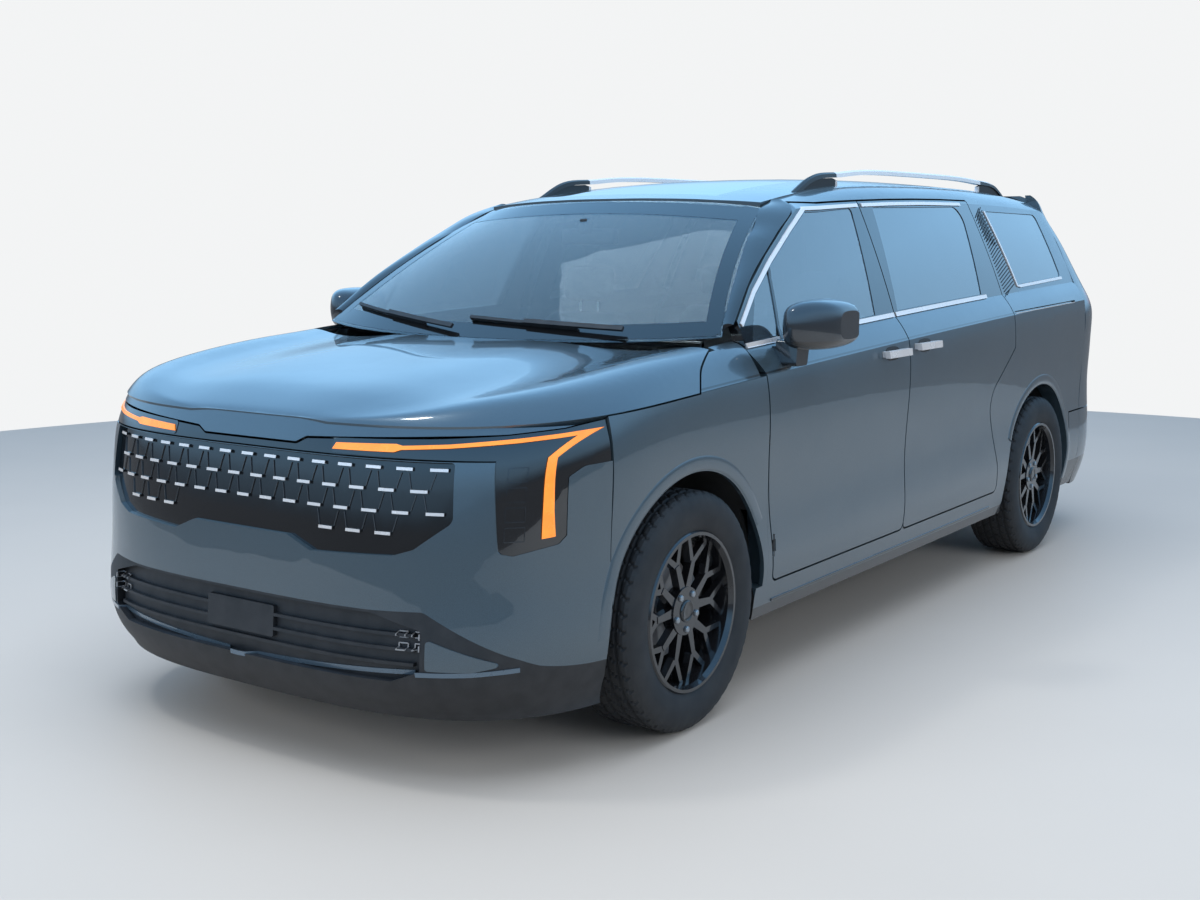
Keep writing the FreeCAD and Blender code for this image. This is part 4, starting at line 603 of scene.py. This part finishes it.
FENDER_PAINT, calc, across, along, height, inward = repainted(PAINT, "paint_and_groove")
# Painted shade: the same dark crease line on the wings.
crease_shade = calc("MULTIPLY", crease_shade_mask(calc, along, height), calc("GREATER_THAN", across, 0.90))
repaint(FENDER_PAINT, crease_shade, CREASE_SHADE_COLOUR, 0.0, 0.35)
for name in ("fender_left", "fender_right"):
    dress(NODES[name], FENDER_PAINT)

ROOF_PAINT, calc, across, along, height, inward = repainted(PAINT, "paint_and_sunroof")
panel = calc("LESS_THAN", across, 0.41)
panel = calc("MULTIPLY", panel, calc("GREATER_THAN", along, -0.585))
panel = calc("MULTIPLY", panel, calc("LESS_THAN", along, -0.02))
repaint(ROOF_PAINT, panel, (0.010, 0.012, 0.015), 0.0, 0.04)
dress(NODES["roof_panel"], ROOF_PAINT)

REAR_PAINT, calc, across, along, height, inward = repainted(PAINT, "paint_and_lower_black")
repaint(REAR_PAINT, calc("LESS_THAN", height, 0.375), MATTE_COLOUR, 0.0, 0.55)
dress(NODES["bumper_rear"], REAR_PAINT)

GATE_PAINT, calc, across, along, height, inward = repainted(PAINT, "paint_and_gate_black")
around = calc("GREATER_THAN", height, 1.2285)
around = calc("MULTIPLY", around, calc("LESS_THAN", height, 1.632))
around = calc("MULTIPLY", around, calc("GREATER_THAN", along, 2.15))
repaint(GATE_PAINT, around, GLOSS_COLOUR, 0.0, 0.09)
dress(NODES["tailgate"], GATE_PAINT)


# ---------------------------------------------------------------- grille, lamps and nose details


def nose_strip(points, half_high, lift, thick, samples):
    """A strip on the nose along (x, z) points."""
    section = ((-1, -1), (1, -1), (1, 1), (-1, 1))
    return strip(nose_skin, points, half_high, lift, thick, samples, section)


DASH_REACH = (0.690, 0.700, 0.680, 0.600)
caps, lines = [], []
for row in range(4):
    z = 0.882 - 0.058 * row
    for place in range(-7, 8):
        x = (place + 0.5 * (row % 2)) * 0.095
        if abs(x) > DASH_REACH[row] or (row == 3 and abs(x) < 0.250):
            continue
        caps.append(nose_strip([(x - 0.0235, z), (x + 0.0235, z)], 0.0042, 0.0, 0.0016, 3))
        for way in (-1, 1):
            x_top = x + way * 0.037
            if abs(x_top) < 0.695 and row > 0:
                ends = [(x + way * 0.026, z + 0.004), (x_top, z + 0.047)]
                lines.append(nose_strip(ends, 0.0007, 0.0, 0.0030, 4))
mesh_piece("grille_dashes", *gather(caps), SATIN, "body", False)
mesh_piece("grille_lines", *gather(lines), STEEL, "body", False)


# ---------------------------------------------------------------- side details


def side_strip(points, half_high, lift, thick, samples):
    """A strip on the left side along (y, z) points."""
    section = ((-1, -1), (-0.8, 1), (0.8, 1), (1, -1))
    return strip(side_skin, points, half_high, lift, thick, samples, section)


def arch_band(centre_y, start, end, inner, outer, proud):
    """Raised rounded band round a wheel arch on the left side."""
    rings = (
        (inner, 0.0), (inner + 0.003, 0.75), (inner + 0.010, 1.0), (outer - 0.014, 0.85), (outer - 0.004, 0.45),
        (outer, 0.0),
    )
    rows = []
    steps = 72
    for k in range(steps + 1):
        angle = math.radians(start + (end - start) * k / steps)
        row = []
        for r, height in rings:
            y, z = centre_y + r * math.sin(angle), HUB_Z + r * math.cos(angle)
            hit = side_skin(y, z)
            if hit:
                row.append(hit[0] + hit[1] * (proud * height - 0.0008))
        if len(row) == len(rings) and (not rows or (row[2] - rows[-1][2]).length < 0.06):
            rows.append(row)
    return sum(rows, []), sheet_quads(len(rows), len(rings))


for name, start, end in (("front", -88, 62), ("rear", -62, 100)):
    band = arch_band(WHEELS[name], start, end, 0.4315, 0.478, 0.0042)
    both_sides(f"arch_lip_{name}", *band, PAINT, "body", True)

ribs = []
for k in range(26):
    z = 1.250 + 0.0138 * k
    back = 1.253 - 0.17 * (z - 1.262) - 0.022
    ribs.append(side_strip([(1.078, z - 0.022), (back, z + 0.022)], 0.0021, -0.0004, 0.0026, 4))
both_sides("pillar_panel", *gather(ribs), BLACK_MATTE, "body")

slot_line = [(1.070, 1.1482), (1.90, 1.1660)]
both_sides("rail_edge", *side_strip(slot_line, 0.0016, 0.0, 0.0014, 24), SATIN, "body")
sill_strip = [(-1.13, 0.300), (-0.60, 0.3005), (0.30, 0.302), (0.86, 0.303)]
both_sides("sill_trim", *side_strip(sill_strip, 0.0055, -0.0004, 0.0035, 10), BLACK_GLOSS, "body")
bar_line = [(-0.934, 1.402), (-1.012, 1.156)]
window_bar = side_strip(bar_line, 0.0085, 0.0, 0.0034, 6)
both_sides("window_bar", *window_bar, BLACK_GLOSS, ("door_left", "door_right"))


# ---------------------------------------------------------------- handles, mirrors, rails

HANDLE = SATIN.copy()
HANDLE.name = "handle_bright"
for name in ("handle_front_left", "handle_front_right", "slide_handles"):
    dress(NODES[name], HANDLE)
    soften(NODES[name], 0.004, 3, 40)


def recess_shade_patch(centre_y, centre_z):
    """Painted shade: a flat black patch on the skin where the finger recess behind a handle is shaded."""
    verts = []
    rings, around = 5, 28
    for ring in range(rings):
        share = ring / (rings - 1)
        for j in range(around):
            turn = 2 * math.pi * j / around
            y = centre_y + 0.062 * share * math.copysign(abs(math.cos(turn)) ** 0.7, math.cos(turn))
            z = centre_z + 0.026 * share * math.copysign(abs(math.sin(turn)) ** 0.8, math.sin(turn))
            hit = side_skin(y, z)
            verts.append(hit[0] + hit[1] * 0.0007)
    return verts, ring_quads(rings, around)


# Painted shade: dark patches for the shaded finger recesses behind the handles.
for name, centre_y, centre_z, bodies in (
    ("front", -0.265, 1.061, ("door_left", "door_right")),
    ("slide", 0.035, 1.073, "body"),
):
    both_sides(f"handle_cup_{name}", *recess_shade_patch(centre_y, centre_z), BLACK_GLOSS, bodies, True)

MIRROR_DARK, calc, across, along, height, inward = repainted(PAINT, "mirror_two_tone")
repaint(MIRROR_DARK, calc("GREATER_THAN", height, 0.0), (0.020, 0.027, 0.036), 0.25, 0.22)
repaint(MIRROR_DARK, calc("LESS_THAN", height, 1.158), (0.008, 0.009, 0.011), 0.0, 0.35)
repaint(MIRROR_DARK, calc("GREATER_THAN", along, -0.8805), (0.008, 0.009, 0.011), 0.0, 0.45)
MIRROR_GLASS = new_material("mirror_glass", (0.80, 0.84, 0.88), 0.02, metal=1.0)
vary_rough(MIRROR_GLASS, 0.015, 0.03, 0.2)
MIRROR_CORNERS = ((1.106, 1.252, 0), (1.018, 1.256, 90), (1.018, 1.162, 180), (1.104, 1.166, 270))
MIRROR_ROUND = 0.018
for sign, name in ((1, "left"), (-1, "right")):
    dress(NODES["mirror_" + name], MIRROR_DARK)
    outline = []
    for cx, cz, first in MIRROR_CORNERS:
        for step in range(7):
            turn = math.radians(first + 15 * step)
            outline.append((cx + MIRROR_ROUND * math.cos(turn), cz + MIRROR_ROUND * math.sin(turn)))
    verts = []
    for y, shrink in ((-0.8790, 1.0), (-0.8770, 1.0), (-0.8765, 0.97)):
        for x, z in outline:
            x, z = 1.062 + (x - 1.062) * shrink, 1.209 + (z - 1.209) * shrink
            verts.append(Vector((sign * x, y, z)))
    count = len(outline)
    faces = ring_quads(3, count) + [[2 * count + j for j in range(count)]]
    mesh_piece("mirror_glass_" + name, verts, faces, MIRROR_GLASS, "door_" + name, smooth=False)

RAILS, calc, across, along, height, inward = repainted(SATIN, "rail_satin_and_feet")
middle = calc("ABSOLUTE", calc("ADD", along, -0.77))
ends = calc("GREATER_THAN", middle, 0.77)
slope = calc("MULTIPLY", calc("SUBTRACT", middle, 0.77), -0.11)
low = calc("LESS_THAN", height, calc("ADD", slope, 1.752))
repaint(RAILS, calc("MULTIPLY", ends, low), (0.010, 0.011, 0.013), 0.0, 0.35)
dress(NODES["roof_rails"], RAILS)


# ---------------------------------------------------------------- windscreen surround and wipers

SCREEN_TREE = tree_of(["windscreen"])


def screen_point(x, z, out):
    """Point at a distance in front of the windscreen, or None beside it."""
    hit, normal, _, _ = SCREEN_TREE.ray_cast(Vector((x, -2.6, z)), Vector((0, 1, 0)))
    if hit is None:
        return None
    normal = normal if normal.y < 0 else -normal
    return hit + normal * out


def screen_patch(name, rows):
    """Thin sheet just outside the windscreen; rows of (x, z) of equal length."""
    verts = []
    for row in rows:
        for x, z in row:
            p = screen_point(x, z, 0.0006)
            if p is None:
                for nudge in (0.004, 0.008, 0.012, 0.018, 0.026):
                    p = screen_point(x * (1 - nudge), z + (nudge if z < 1.4 else -nudge), 0.0006)
                    if p:
                        break
            verts.append(p or Vector((x, -1.0, z)))
    faces = [quad[::-1] for quad in sheet_quads(len(rows), len(rows[0]))]
    mesh_piece(name, verts, faces, BLACK_GLOSS, "body")


def screen_half(z):
    """Half the windscreen's width at a height."""
    return 0.862 - 0.559 * (z - 1.176)


screen_steps = [1.186 + (1.606 - 1.186) * k / 24 for k in range(25)]
for sign, name in ((1, "left"), (-1, "right")):
    rows = [[(sign * (screen_half(z) + inset), z) for inset in (-0.046, -0.022, 0.004)] for z in screen_steps]
    screen_patch("screen_border_" + name, rows)
foot_rows, head_rows = [], []
for k in range(41):
    u = -1 + 2 * k / 40
    x = 0.850 * u
    low = 1.150 + 0.030 * u * u + 0.0015
    foot_rows.append([(x, low), (x, low + 0.022), (x, low + 0.046)])
    x = 0.618 * u
    high = 1.6225 - 0.030 * u * u
    head_rows.append([(x, high - 0.044), (x, high - 0.020), (x, high)])
screen_patch("screen_border_foot", foot_rows)
screen_patch("screen_border_head", head_rows)


def wiper(name, pivot, tip, arm_share):
    """Arm from its pivot to the blade, and the blade lying along the glass."""
    px, pz = pivot
    tx, tz = tip
    blade_start = (px + (tx - px) * arm_share, pz + (tz - pz) * arm_share)
    blade, arm = [], []
    for k in range(15):
        t = k / 14
        x = blade_start[0] - (tx - px) * 0.34 * (1 - t) + (tx - blade_start[0]) * t
        z = blade_start[1] - (tz - pz) * 0.34 * (1 - t) + (tz - blade_start[1]) * t
        p = screen_point(x, z + 0.012, 0.010)
        if p:
            blade.append(p)
    for k in range(10):
        t = k / 9
        x, z = px + (blade_start[0] - px) * t, pz + (blade_start[1] - pz) * t
        p = screen_point(x, z + 0.012, 0.024 - 0.006 * t)
        if p:
            arm.append(p)
    off_glass = Vector((0, -0.80, 0.6))
    parts = [box_between(blade, off_glass, 0.0055, 0.0080), box_between(arm, off_glass, 0.0080, 0.0055)]
    mesh_piece(name, *gather(parts), BLACK_MATTE, "body", False)


wiper("wiper_left", (0.55, 1.168), (-0.10, 1.196), 0.62)
wiper("wiper_right", (-0.14, 1.158), (-0.74, 1.222), 0.62)

LIP = new_material("lip_satin", (0.085, 0.135, 0.190), 0.28, metal=0.45, coat=0.8)
vary_rough(LIP, 0.24, 0.34, 0.10)
MODULE = new_material("lamp_module", (0.045, 0.050, 0.058), 0.18, metal=0.8, coat=0.5)
vary_rough(MODULE, 0.12, 0.26, 0.02)


def nose_frame(x0, x1, z0, z1, wide, lift, thick):
    """Four bars round a rectangle on the nose."""
    bars = ([(x0, z0), (x1, z0)], [(x0, z1), (x1, z1)], [(x0, z0), (x0, z1)], [(x1, z0), (x1, z1)])
    return [nose_strip(bar, wide, lift, thick, 3) for bar in bars]


lip_points = [(0.86, 0.346), (0.765, 0.338), (0.60, 0.333), (0.30, 0.318), (0.0, 0.306)]
lip_points += [(-x, z) for x, z in lip_points[-2::-1]]
trim_verts, trim_faces = nose_strip(lip_points, 0.0065, 0.0, 0.0030, 10)
trim_verts = [Vector((v.x, max(v.y, CAD_BOX[0][1]), v.z)) for v in trim_verts]
mesh_piece("lip_trim", trim_verts, trim_faces, LIP, "body", False)
squares = []
for sign in (1, -1):
    for x in (sign * 0.585, sign * 0.630):
        for z in (0.405, 0.437):
            squares += nose_frame(x - 0.013, x + 0.013, z - 0.008, z + 0.008, 0.0018, 0.002, 0.004)
mesh_piece("corner_lamps", *gather(squares), DARK_CHROME, "body", False)
modules = []
for sign in (1, -1):
    x = sign * 0.844
    for z in (0.712, 0.765, 0.818, 0.871):
        modules += nose_frame(x - 0.018, x + 0.018, z - 0.019, z + 0.019, 0.0014, 0.0002, 0.0010)
mesh_piece("lamp_modules", *gather(modules), MODULE, "body", False)


# ---------------------------------------------------------------- seats and cabin


def cushion(name, size_xyz, centre, tilt, crown=0.018, channels=0):
    """A crowned pad with drawn-in sides and sewn channels, size z thick, tilted about X."""
    sx, sy, sz = size_xyz
    n = 36
    power = 5.0
    pinch = 0.03
    verts, faces = [], []
    for face_side in (1, -1):
        for j in range(n + 1):
            for i in range(n + 1):
                u, v = 2 * i / n - 1, 2 * j / n - 1
                u, v = math.sin(u * math.pi / 2), math.sin(v * math.pi / 2)
                edge = max(abs(u), abs(v))
                reach = (abs(u) ** power + abs(v) ** power) ** (1 / power)
                shrink = edge / reach if reach > 1e-6 else 1.0
                x, y = u * shrink, v * shrink
                side_pull = edge ** 4
                x *= 1 - pinch * side_pull * (1 - y * y) * (abs(u) > abs(v))
                y *= 1 - pinch * side_pull * (1 - x * x) * (abs(v) >= abs(u))
                rise = max(0.0, 1 - edge ** 8) ** 0.5
                z = face_side * (0.5 * sz - crown) * rise
                z += face_side * crown * max(0.0, (1 - u * u) * (1 - v * v)) ** 0.6
                if channels and face_side > 0:
                    inside = max(0.0, 1 - edge ** 6)
                    if abs(u) < 0.62:
                        wave = abs(math.sin(math.pi * channels * (v + 1) / 2))
                        z -= 0.008 * max(0.0, 1 - wave * 4.5) * inside
                    bolster = abs(abs(u) - 0.64)
                    z -= 0.013 * max(0.0, 1 - bolster * 14.0) * inside
                    z += 0.010 * max(0.0, 1 - abs(abs(u) - 0.82) * 6.0) * inside
                verts.append(Vector((x * sx / 2, y * sy / 2, z)))
    turn = Matrix.Rotation(tilt, 3, "X")
    verts = [turn @ v + Vector(centre) for v in verts]
    stride = (n + 1) * (n + 1)
    for side_index in range(2):
        for j in range(n):
            for i in range(n):
                a = side_index * stride + j * (n + 1) + i
                quad = [a, a + 1, a + n + 2, a + n + 1]
                faces.append(quad if side_index == 0 else quad[::-1])
    obj = mesh_piece(name, verts, faces, LEATHER, "body")
    work = bmesh.new()
    work.from_mesh(obj.data)
    bmesh.ops.remove_doubles(work, verts=work.verts, dist=0.0003)
    bmesh.ops.recalc_face_normals(work, faces=work.faces)
    work.to_mesh(obj.data)
    work.free()
    for polygon in obj.data.polygons:
        polygon.use_smooth = True
    return obj


def tube(points, radius, ring=10):
    """Vertices and faces of a round bar along points."""
    verts = []
    for i, p in enumerate(points):
        before, after = points[max(i - 1, 0)], points[min(i + 1, len(points) - 1)]
        along = (after - before).normalized()
        side_way = along.cross(Vector((0, 0, 1)))
        if side_way.length < 0.05:
            side_way = along.cross(Vector((0, 1, 0)))
        side_way.normalize()
        lift = side_way.cross(along).normalized()
        for j in range(ring):
            turn = 2 * math.pi * j / ring
            verts.append(p + side_way * (radius * math.cos(turn)) + lift * (radius * math.sin(turn)))
    return verts, bar_faces(len(points), ring)


def rounded_box(x0, x1, y0, y1, z0, z1, r, steps=4):
    """A box whose upright edges and top and bottom edges are rounded."""
    outline = []
    corners = ((x1 - r, y1 - r, 0), (x0 + r, y1 - r, 90), (x0 + r, y0 + r, 180), (x1 - r, y0 + r, 270))
    for cx, cy, first in corners:
        for k in range(steps + 1):
            turn = math.radians(first + 90 * k / steps)
            outline.append((cx, cy, math.cos(turn), math.sin(turn)))
    levels = []
    for k in range(steps + 1):
        turn = math.radians(90 * k / steps)
        levels.append((z0 + r - r * math.cos(turn), r * math.sin(turn)))
    for k in range(steps, -1, -1):
        turn = math.radians(90 * k / steps)
        levels.append((z1 - r + r * math.cos(turn), r * math.sin(turn)))
    verts = [Vector((cx + ux * reach, cy + uy * reach, z)) for z, reach in levels for cx, cy, ux, uy in outline]
    return verts, bar_faces(len(levels), len(outline))


def build_seat(name, x, y, width, back_top, wide_parts=1):
    """Cushions, backs and head restraints over a shell and foot; the front foot is at y."""
    pads, frames = [], []
    step = width / wide_parts
    lean = math.radians(90 - 11) - math.pi
    long_back = back_top - 0.555
    for k in range(wide_parts):
        cx = x - width / 2 + step * (k + 0.5)
        tag = f"{name}_{k}" if wide_parts > 1 else name
        place = (cx, y + 0.280, 0.568)
        sizes = (step - 0.012, 0.520, 0.150)
        pads.append(cushion(tag + "_cushion", sizes, place, math.radians(-5), channels=5))
        place = (cx, y + 0.535, (back_top + 0.565) / 2)
        pads.append(cushion(tag + "_back", (step - 0.016, long_back, 0.115), place, lean, channels=7))
        place = (cx, y + 0.594, back_top + 0.106)
        pads.append(cushion(tag + "_head", (0.245, 0.150, 0.078), place, lean, crown=0.022))
        for dx in (-0.045, 0.045):
            foot = Vector((cx + dx, y + 0.592, back_top - 0.03))
            head = Vector((cx + dx, y + 0.594, back_top + 0.06))
            frames.append(tube([foot, head], 0.006))
    mesh_piece(name + "_stems", *gather(frames), SATIN, "body")
    half = width / 2 - 0.06
    base = rounded_box(x - half, x + half, y + 0.085, y + 0.455, 0.3305, 0.500, 0.02)
    mesh_piece(name + "_base", *base, BLACK_MATTE, "body")
    return pads


for side_name, x in (("left", 0.400), ("right", -0.400)):
    first = build_seat("front_seat_" + side_name, x, -0.86, 0.52, 1.19)
    if side_name == "left":
        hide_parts("front_seats")
for side_name, x in (("left", 0.390), ("right", -0.390)):
    first = build_seat("middle_seat_" + side_name, x, 0.23, 0.50, 1.18)
    if side_name == "left":
        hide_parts("middle_seats")
first = build_seat("rear_seat", 0.0, 1.24, 1.16, 1.12, 3)
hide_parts("rear_bench")

display = rounded_box(-0.12, 0.56, -0.925, -0.905, 1.035, 1.130, 0.009)
mesh_piece("display_panel", *display, BLACK_GLOSS, "body")


# ---------------------------------------------------------------- rear details

TAIL_TREE = tree_of(["tailgate", "tailgate_lamp", "tail_lamps", "bumper_rear", "tailgate_glass"])


def tail_skin(x, z):
    """(point, normal) on the tail, seen from behind."""
    best = None
    for dx, dz in ((0, 0), (0.009, 0), (-0.009, 0), (0, 0.009), (0, -0.009)):
        hit, normal, _, _ = TAIL_TREE.ray_cast(Vector((x + dx, 3.4, z + dz)), Vector((0, -1, 0)))
        if hit and (best is None or hit.y > best[0].y + 0.004):
            best = (Vector((x, hit.y, z)), normal if normal.y > 0 else -normal)
    return best


def tail_patch(outline_rows, lift):
    """Sheet over the tail; rows of (x, z) of equal length."""
    verts = []
    for row in outline_rows:
        for x, z in row:
            hit = tail_skin(x, z)
            verts.append(hit[0] + hit[1] * lift if hit else Vector((x, 2.5, z)))
    return verts, sheet_quads(len(outline_rows), len(outline_rows[0]))


def tail_strip(points, half_high, lift, thick, samples=8):
    """A strip on the tail along (x, z) points."""
    section = ((-1, -1), (1, -1), (0.8, 1), (-0.8, 1))
    return strip(tail_skin, points, half_high, lift, thick, samples, section)


plate_bars = [
    [(-0.270, 0.800), (0.270, 0.800)], [(-0.270, 0.940), (0.270, 0.940)],
    [(-0.270, 0.800), (-0.270, 0.940)], [(0.270, 0.800), (0.270, 0.940)],
]
plate_frame = [tail_strip(bar, 0.006, -0.0005, 0.006) for bar in plate_bars]
mesh_piece("plate_frame", *gather(plate_frame), BLACK_GLOSS, "tailgate", False)
plate_rows = [[(-0.264 + 0.528 * k / 16, 0.805 + 0.130 * j / 6) for k in range(17)] for j in range(7)]
mesh_piece("plate_bed", *tail_patch(plate_rows, 0.0008), BLACK_MATTE, "tailgate", True)
grip = tail_strip([(-0.300, 0.985), (0.300, 0.985)], 0.011, -0.0005, 0.0065, 16)
mesh_piece("tailgate_grip", *grip, SATIN, "tailgate", False)
reflectors = [tail_strip([(s * 0.56, 0.470), (s * 0.78, 0.476)], 0.014, -0.0005, 0.003, 12) for s in (1, -1)]
mesh_piece("rear_reflectors", *gather(reflectors), RED_LENS, "body", False)
skid = tail_strip([(-0.52, 0.362), (0.52, 0.362)], 0.010, -0.0005, 0.004, 24)
mesh_piece("rear_skid_trim", *skid, LIP, "body", False)

wiper_path = [(0.02, 1.268), (-0.10, 1.285), (-0.22, 1.300), (-0.34, 1.310)]
wiper_points = []
for x, z in wiper_path:
    hit = tail_skin(x, z)
    if hit:
        wiper_points.append(hit[0] + hit[1] * 0.016)
rear_wiper = box_between(wiper_points, Vector((0, 0.9, 0.4)), 0.007, 0.005)
mesh_piece("rear_wiper", *rear_wiper, BLACK_MATTE, "tailgate", False)

LAMP_RED, calc, across, along, height, inward = repainted(RED_LENS, "tail_red_framed")
band_middle = calc("ABSOLUTE", calc("SUBTRACT", height, 1.1815))
repaint(LAMP_RED, calc("GREATER_THAN", band_middle, 0.033), (0.008, 0.006, 0.007), 0.0, 0.08)
fin = calc("ABSOLUTE", calc("SUBTRACT", calc("FRACT", calc("MULTIPLY", height, 90.0)), 0.5))
fins = calc("MULTIPLY", calc("GREATER_THAN", fin, 0.38), calc("LESS_THAN", band_middle, 0.033))
repaint(LAMP_RED, fins, (0.10, 0.003, 0.004), 0.0, 0.06)
for name in ("tail_lamps", "tailgate_lamp"):
    dress(NODES[name], LAMP_RED)


# ---------------------------------------------------------------- brakes and cabin mirror

CALIPER = (  # section as (x, distance from the hub)
    (0.822, 0.118), (0.822, 0.166), (0.832, 0.176), (0.872, 0.176), (0.882, 0.166), (0.882, 0.118),
    (0.872, 0.112), (0.832, 0.112),
)
for at, centre_y in WHEELS.items():
    mat, calc, across, along, height, inward = repainted(WHEEL, "wheel_and_disc_" + at)
    dy = calc("SUBTRACT", along, centre_y)
    dz = calc("SUBTRACT", height, HUB_Z)
    reach = calc("ADD", calc("MULTIPLY", dy, dy), calc("MULTIPLY", dz, dz))
    disc = calc("MULTIPLY", calc("LESS_THAN", reach, 0.0252), calc("LESS_THAN", across, 0.868))
    repaint(mat, disc, (0.20, 0.20, 0.21), 0.55, 0.38)
    turn_sign = 1 if at == "front" else -1
    for side_name, sign in (("left", 1), ("right", -1)):
        dress(NODES[f"rim_{at}_{side_name}"], mat)
        verts = []
        for k in range(13):
            share = abs(k - 6) / 6
            angle = math.radians(90 * turn_sign + (k - 6) * 5.0)
            for x, r in CALIPER:
                r = 0.144 + (r - 0.144) * (1 - 0.22 * share ** 4)
                verts.append(Vector((sign * x, centre_y + r * math.sin(angle), HUB_Z + r * math.cos(angle))))
        faces = bar_faces(13, len(CALIPER))
        body = f"steer_{side_name}" if at == "front" else "body"
        mesh_piece(f"caliper_{at}_{side_name}", verts, faces, CAST, body, False)

cabin_mirror = [
    rounded_box(-0.125, 0.125, -0.835, -0.800, 1.462, 1.522, 0.014),
    rounded_box(-0.016, 0.016, -0.865, -0.815, 1.500, 1.560, 0.007),
]
mesh_piece("cabin_mirror", *gather(cabin_mirror), BLACK_MATTE, "body")


# ---------------------------------------------------------------- camera

AZIMUTH = math.radians(35.60)
PITCH = math.radians(8.24)
ROLL = math.radians(0.207)
PHOTO_WIDE, PHOTO_HIGH = 1200.0, 900.0
FOCAL_PIXELS = 1456.8
MIDDLE = (592.37, 445.88)
EYE = (3.2208, -5.3050, 1.5000)
level = math.cos(PITCH)
forward = Vector((-math.sin(AZIMUTH) * level, math.cos(AZIMUTH) * level, -math.sin(PITCH)))
side = Vector((math.cos(AZIMUTH), math.sin(AZIMUTH), 0.0))
down = forward.cross(side)
right = side * math.cos(ROLL) + down * math.sin(ROLL)
down = down * math.cos(ROLL) - side * math.sin(ROLL)
camera = bpy.data.objects.new("camera", bpy.data.cameras.new("camera"))
scene.collection.objects.link(camera)
camera.matrix_world = Matrix((
    (right.x, -down.x, -forward.x, EYE[0]),
    (right.y, -down.y, -forward.y, EYE[1]),
    (right.z, -down.z, -forward.z, EYE[2]),
    (0, 0, 0, 1),
))
camera.data.sensor_width = 36.0
camera.data.lens = FOCAL_PIXELS * camera.data.sensor_width / PHOTO_WIDE
camera.data.shift_x = -(MIDDLE[0] - PHOTO_WIDE / 2) / PHOTO_WIDE
camera.data.shift_y = (MIDDLE[1] - PHOTO_HIGH / 2) / PHOTO_WIDE
camera.data.clip_end = 200.0
scene.camera = camera


# ---------------------------------------------------------------- floor and light

FLOOR_COLOUR = (0.56, 0.553, 0.54)
FLOOR_RADIUS = 7.2
floor_grey = new_material("floor_grey", FLOOR_COLOUR, 0.60)
vary_colour(floor_grey, tuple(c * 0.985 for c in FLOOR_COLOUR), tuple(c * 1.015 for c in FLOOR_COLOUR), 1.4)
floor_mesh = bpy.data.meshes.new("floor")
rim_points = []
for k in range(144):
    turn = math.radians(2.5 * k)
    rim_points.append((FLOOR_RADIUS * math.cos(turn), FLOOR_RADIUS * math.sin(turn), -0.0005))
floor_mesh.from_pydata(rim_points, [], [list(range(144))])
floor = bpy.data.objects.new("floor", floor_mesh)
scene.collection.objects.link(floor)
dress(floor, floor_grey)

world = bpy.data.worlds.new("studio")
scene.world = world
world.use_nodes = True
tree = world.node_tree
background = tree.nodes["Background"]
background.inputs["Color"].default_value = (0.86, 0.91, 0.97, 1.0)
background.inputs["Strength"].default_value = 0.42
seen = tree.nodes.new("ShaderNodeBackground")
seen.inputs["Color"].default_value = (0.895, 0.905, 0.910, 1.0)
mirrored_sky = tree.nodes.new("ShaderNodeBackground")
where = tree.nodes.new("ShaderNodeTexCoord")
split = tree.nodes.new("ShaderNodeSeparateXYZ")
SKY = (  # (height of the mirrored ray, colour)
    (0.035, (0.17, 0.22, 0.28, 1.0)), (0.14, (0.50, 0.86, 1.24, 1.0)), (0.30, (0.58, 1.12, 1.72, 1.0)),
)
sky = tree.nodes.new("ShaderNodeValToRGB")
sky.color_ramp.elements[0].position = 0.0
sky.color_ramp.elements[0].color = (0.20, 0.22, 0.25, 1.0)
sky.color_ramp.elements[1].position = 0.62
sky.color_ramp.elements[1].color = (0.42, 0.92, 1.55, 1.0)
for place, colour in SKY:
    sky.color_ramp.elements.new(place).color = colour
tree.links.new(where.outputs["Generated"], split.inputs[0])
tree.links.new(split.outputs["Z"], sky.inputs["Fac"])
tree.links.new(sky.outputs["Color"], mirrored_sky.inputs["Color"])
path = tree.nodes.new("ShaderNodeLightPath")
clear_ray = tree.nodes.new("ShaderNodeMath")
clear_ray.operation = "MAXIMUM"
tree.links.new(path.outputs["Is Camera Ray"], clear_ray.inputs[0])
tree.links.new(path.outputs["Is Transmission Ray"], clear_ray.inputs[1])
first_mix = tree.nodes.new("ShaderNodeMixShader")
second_mix = tree.nodes.new("ShaderNodeMixShader")
tree.links.new(path.outputs["Is Glossy Ray"], first_mix.inputs["Fac"])
tree.links.new(background.outputs[0], first_mix.inputs[1])
tree.links.new(mirrored_sky.outputs[0], first_mix.inputs[2])
tree.links.new(clear_ray.outputs[0], second_mix.inputs["Fac"])
tree.links.new(first_mix.outputs[0], second_mix.inputs[1])
tree.links.new(seen.outputs[0], second_mix.inputs[2])
tree.links.new(second_mix.outputs[0], tree.nodes["World Output"].inputs["Surface"])


def area_light(name, where, aim, size, power, colour=(1, 1, 1), mirrored=False):
    """A rectangular light that looks at a point; mirrored says whether glossy surfaces show it."""
    data = bpy.data.lights.new(name, "AREA")
    data.shape = "RECTANGLE"
    data.size, data.size_y = size
    data.energy = power
    data.color = colour
    lamp = bpy.data.objects.new(name, data)
    scene.collection.objects.link(lamp)
    lamp.location = where
    lamp.rotation_euler = (Vector(aim) - Vector(where)).to_track_quat("-Z", "Y").to_euler()
    lamp.visible_glossy = mirrored


area_light("overhead", (0.5, -1.0, 6.5), (0, 0, 0.8), (7.0, 9.0), 380, (0.93, 0.96, 1.0))
area_light("left_side", (8.0, -1.5, 3.2), (0, 0, 0.8), (7.0, 3.0), 230)
area_light("front", (-3.0, -9.0, 3.5), (0, -1.5, 0.8), (6.0, 3.0), 240)
area_light("sun_patch", (-2.5, -4.0, 7.5), (0, -1.0, 0.9), (0.8, 0.8), 90, (1.0, 0.97, 0.92), mirrored=True)
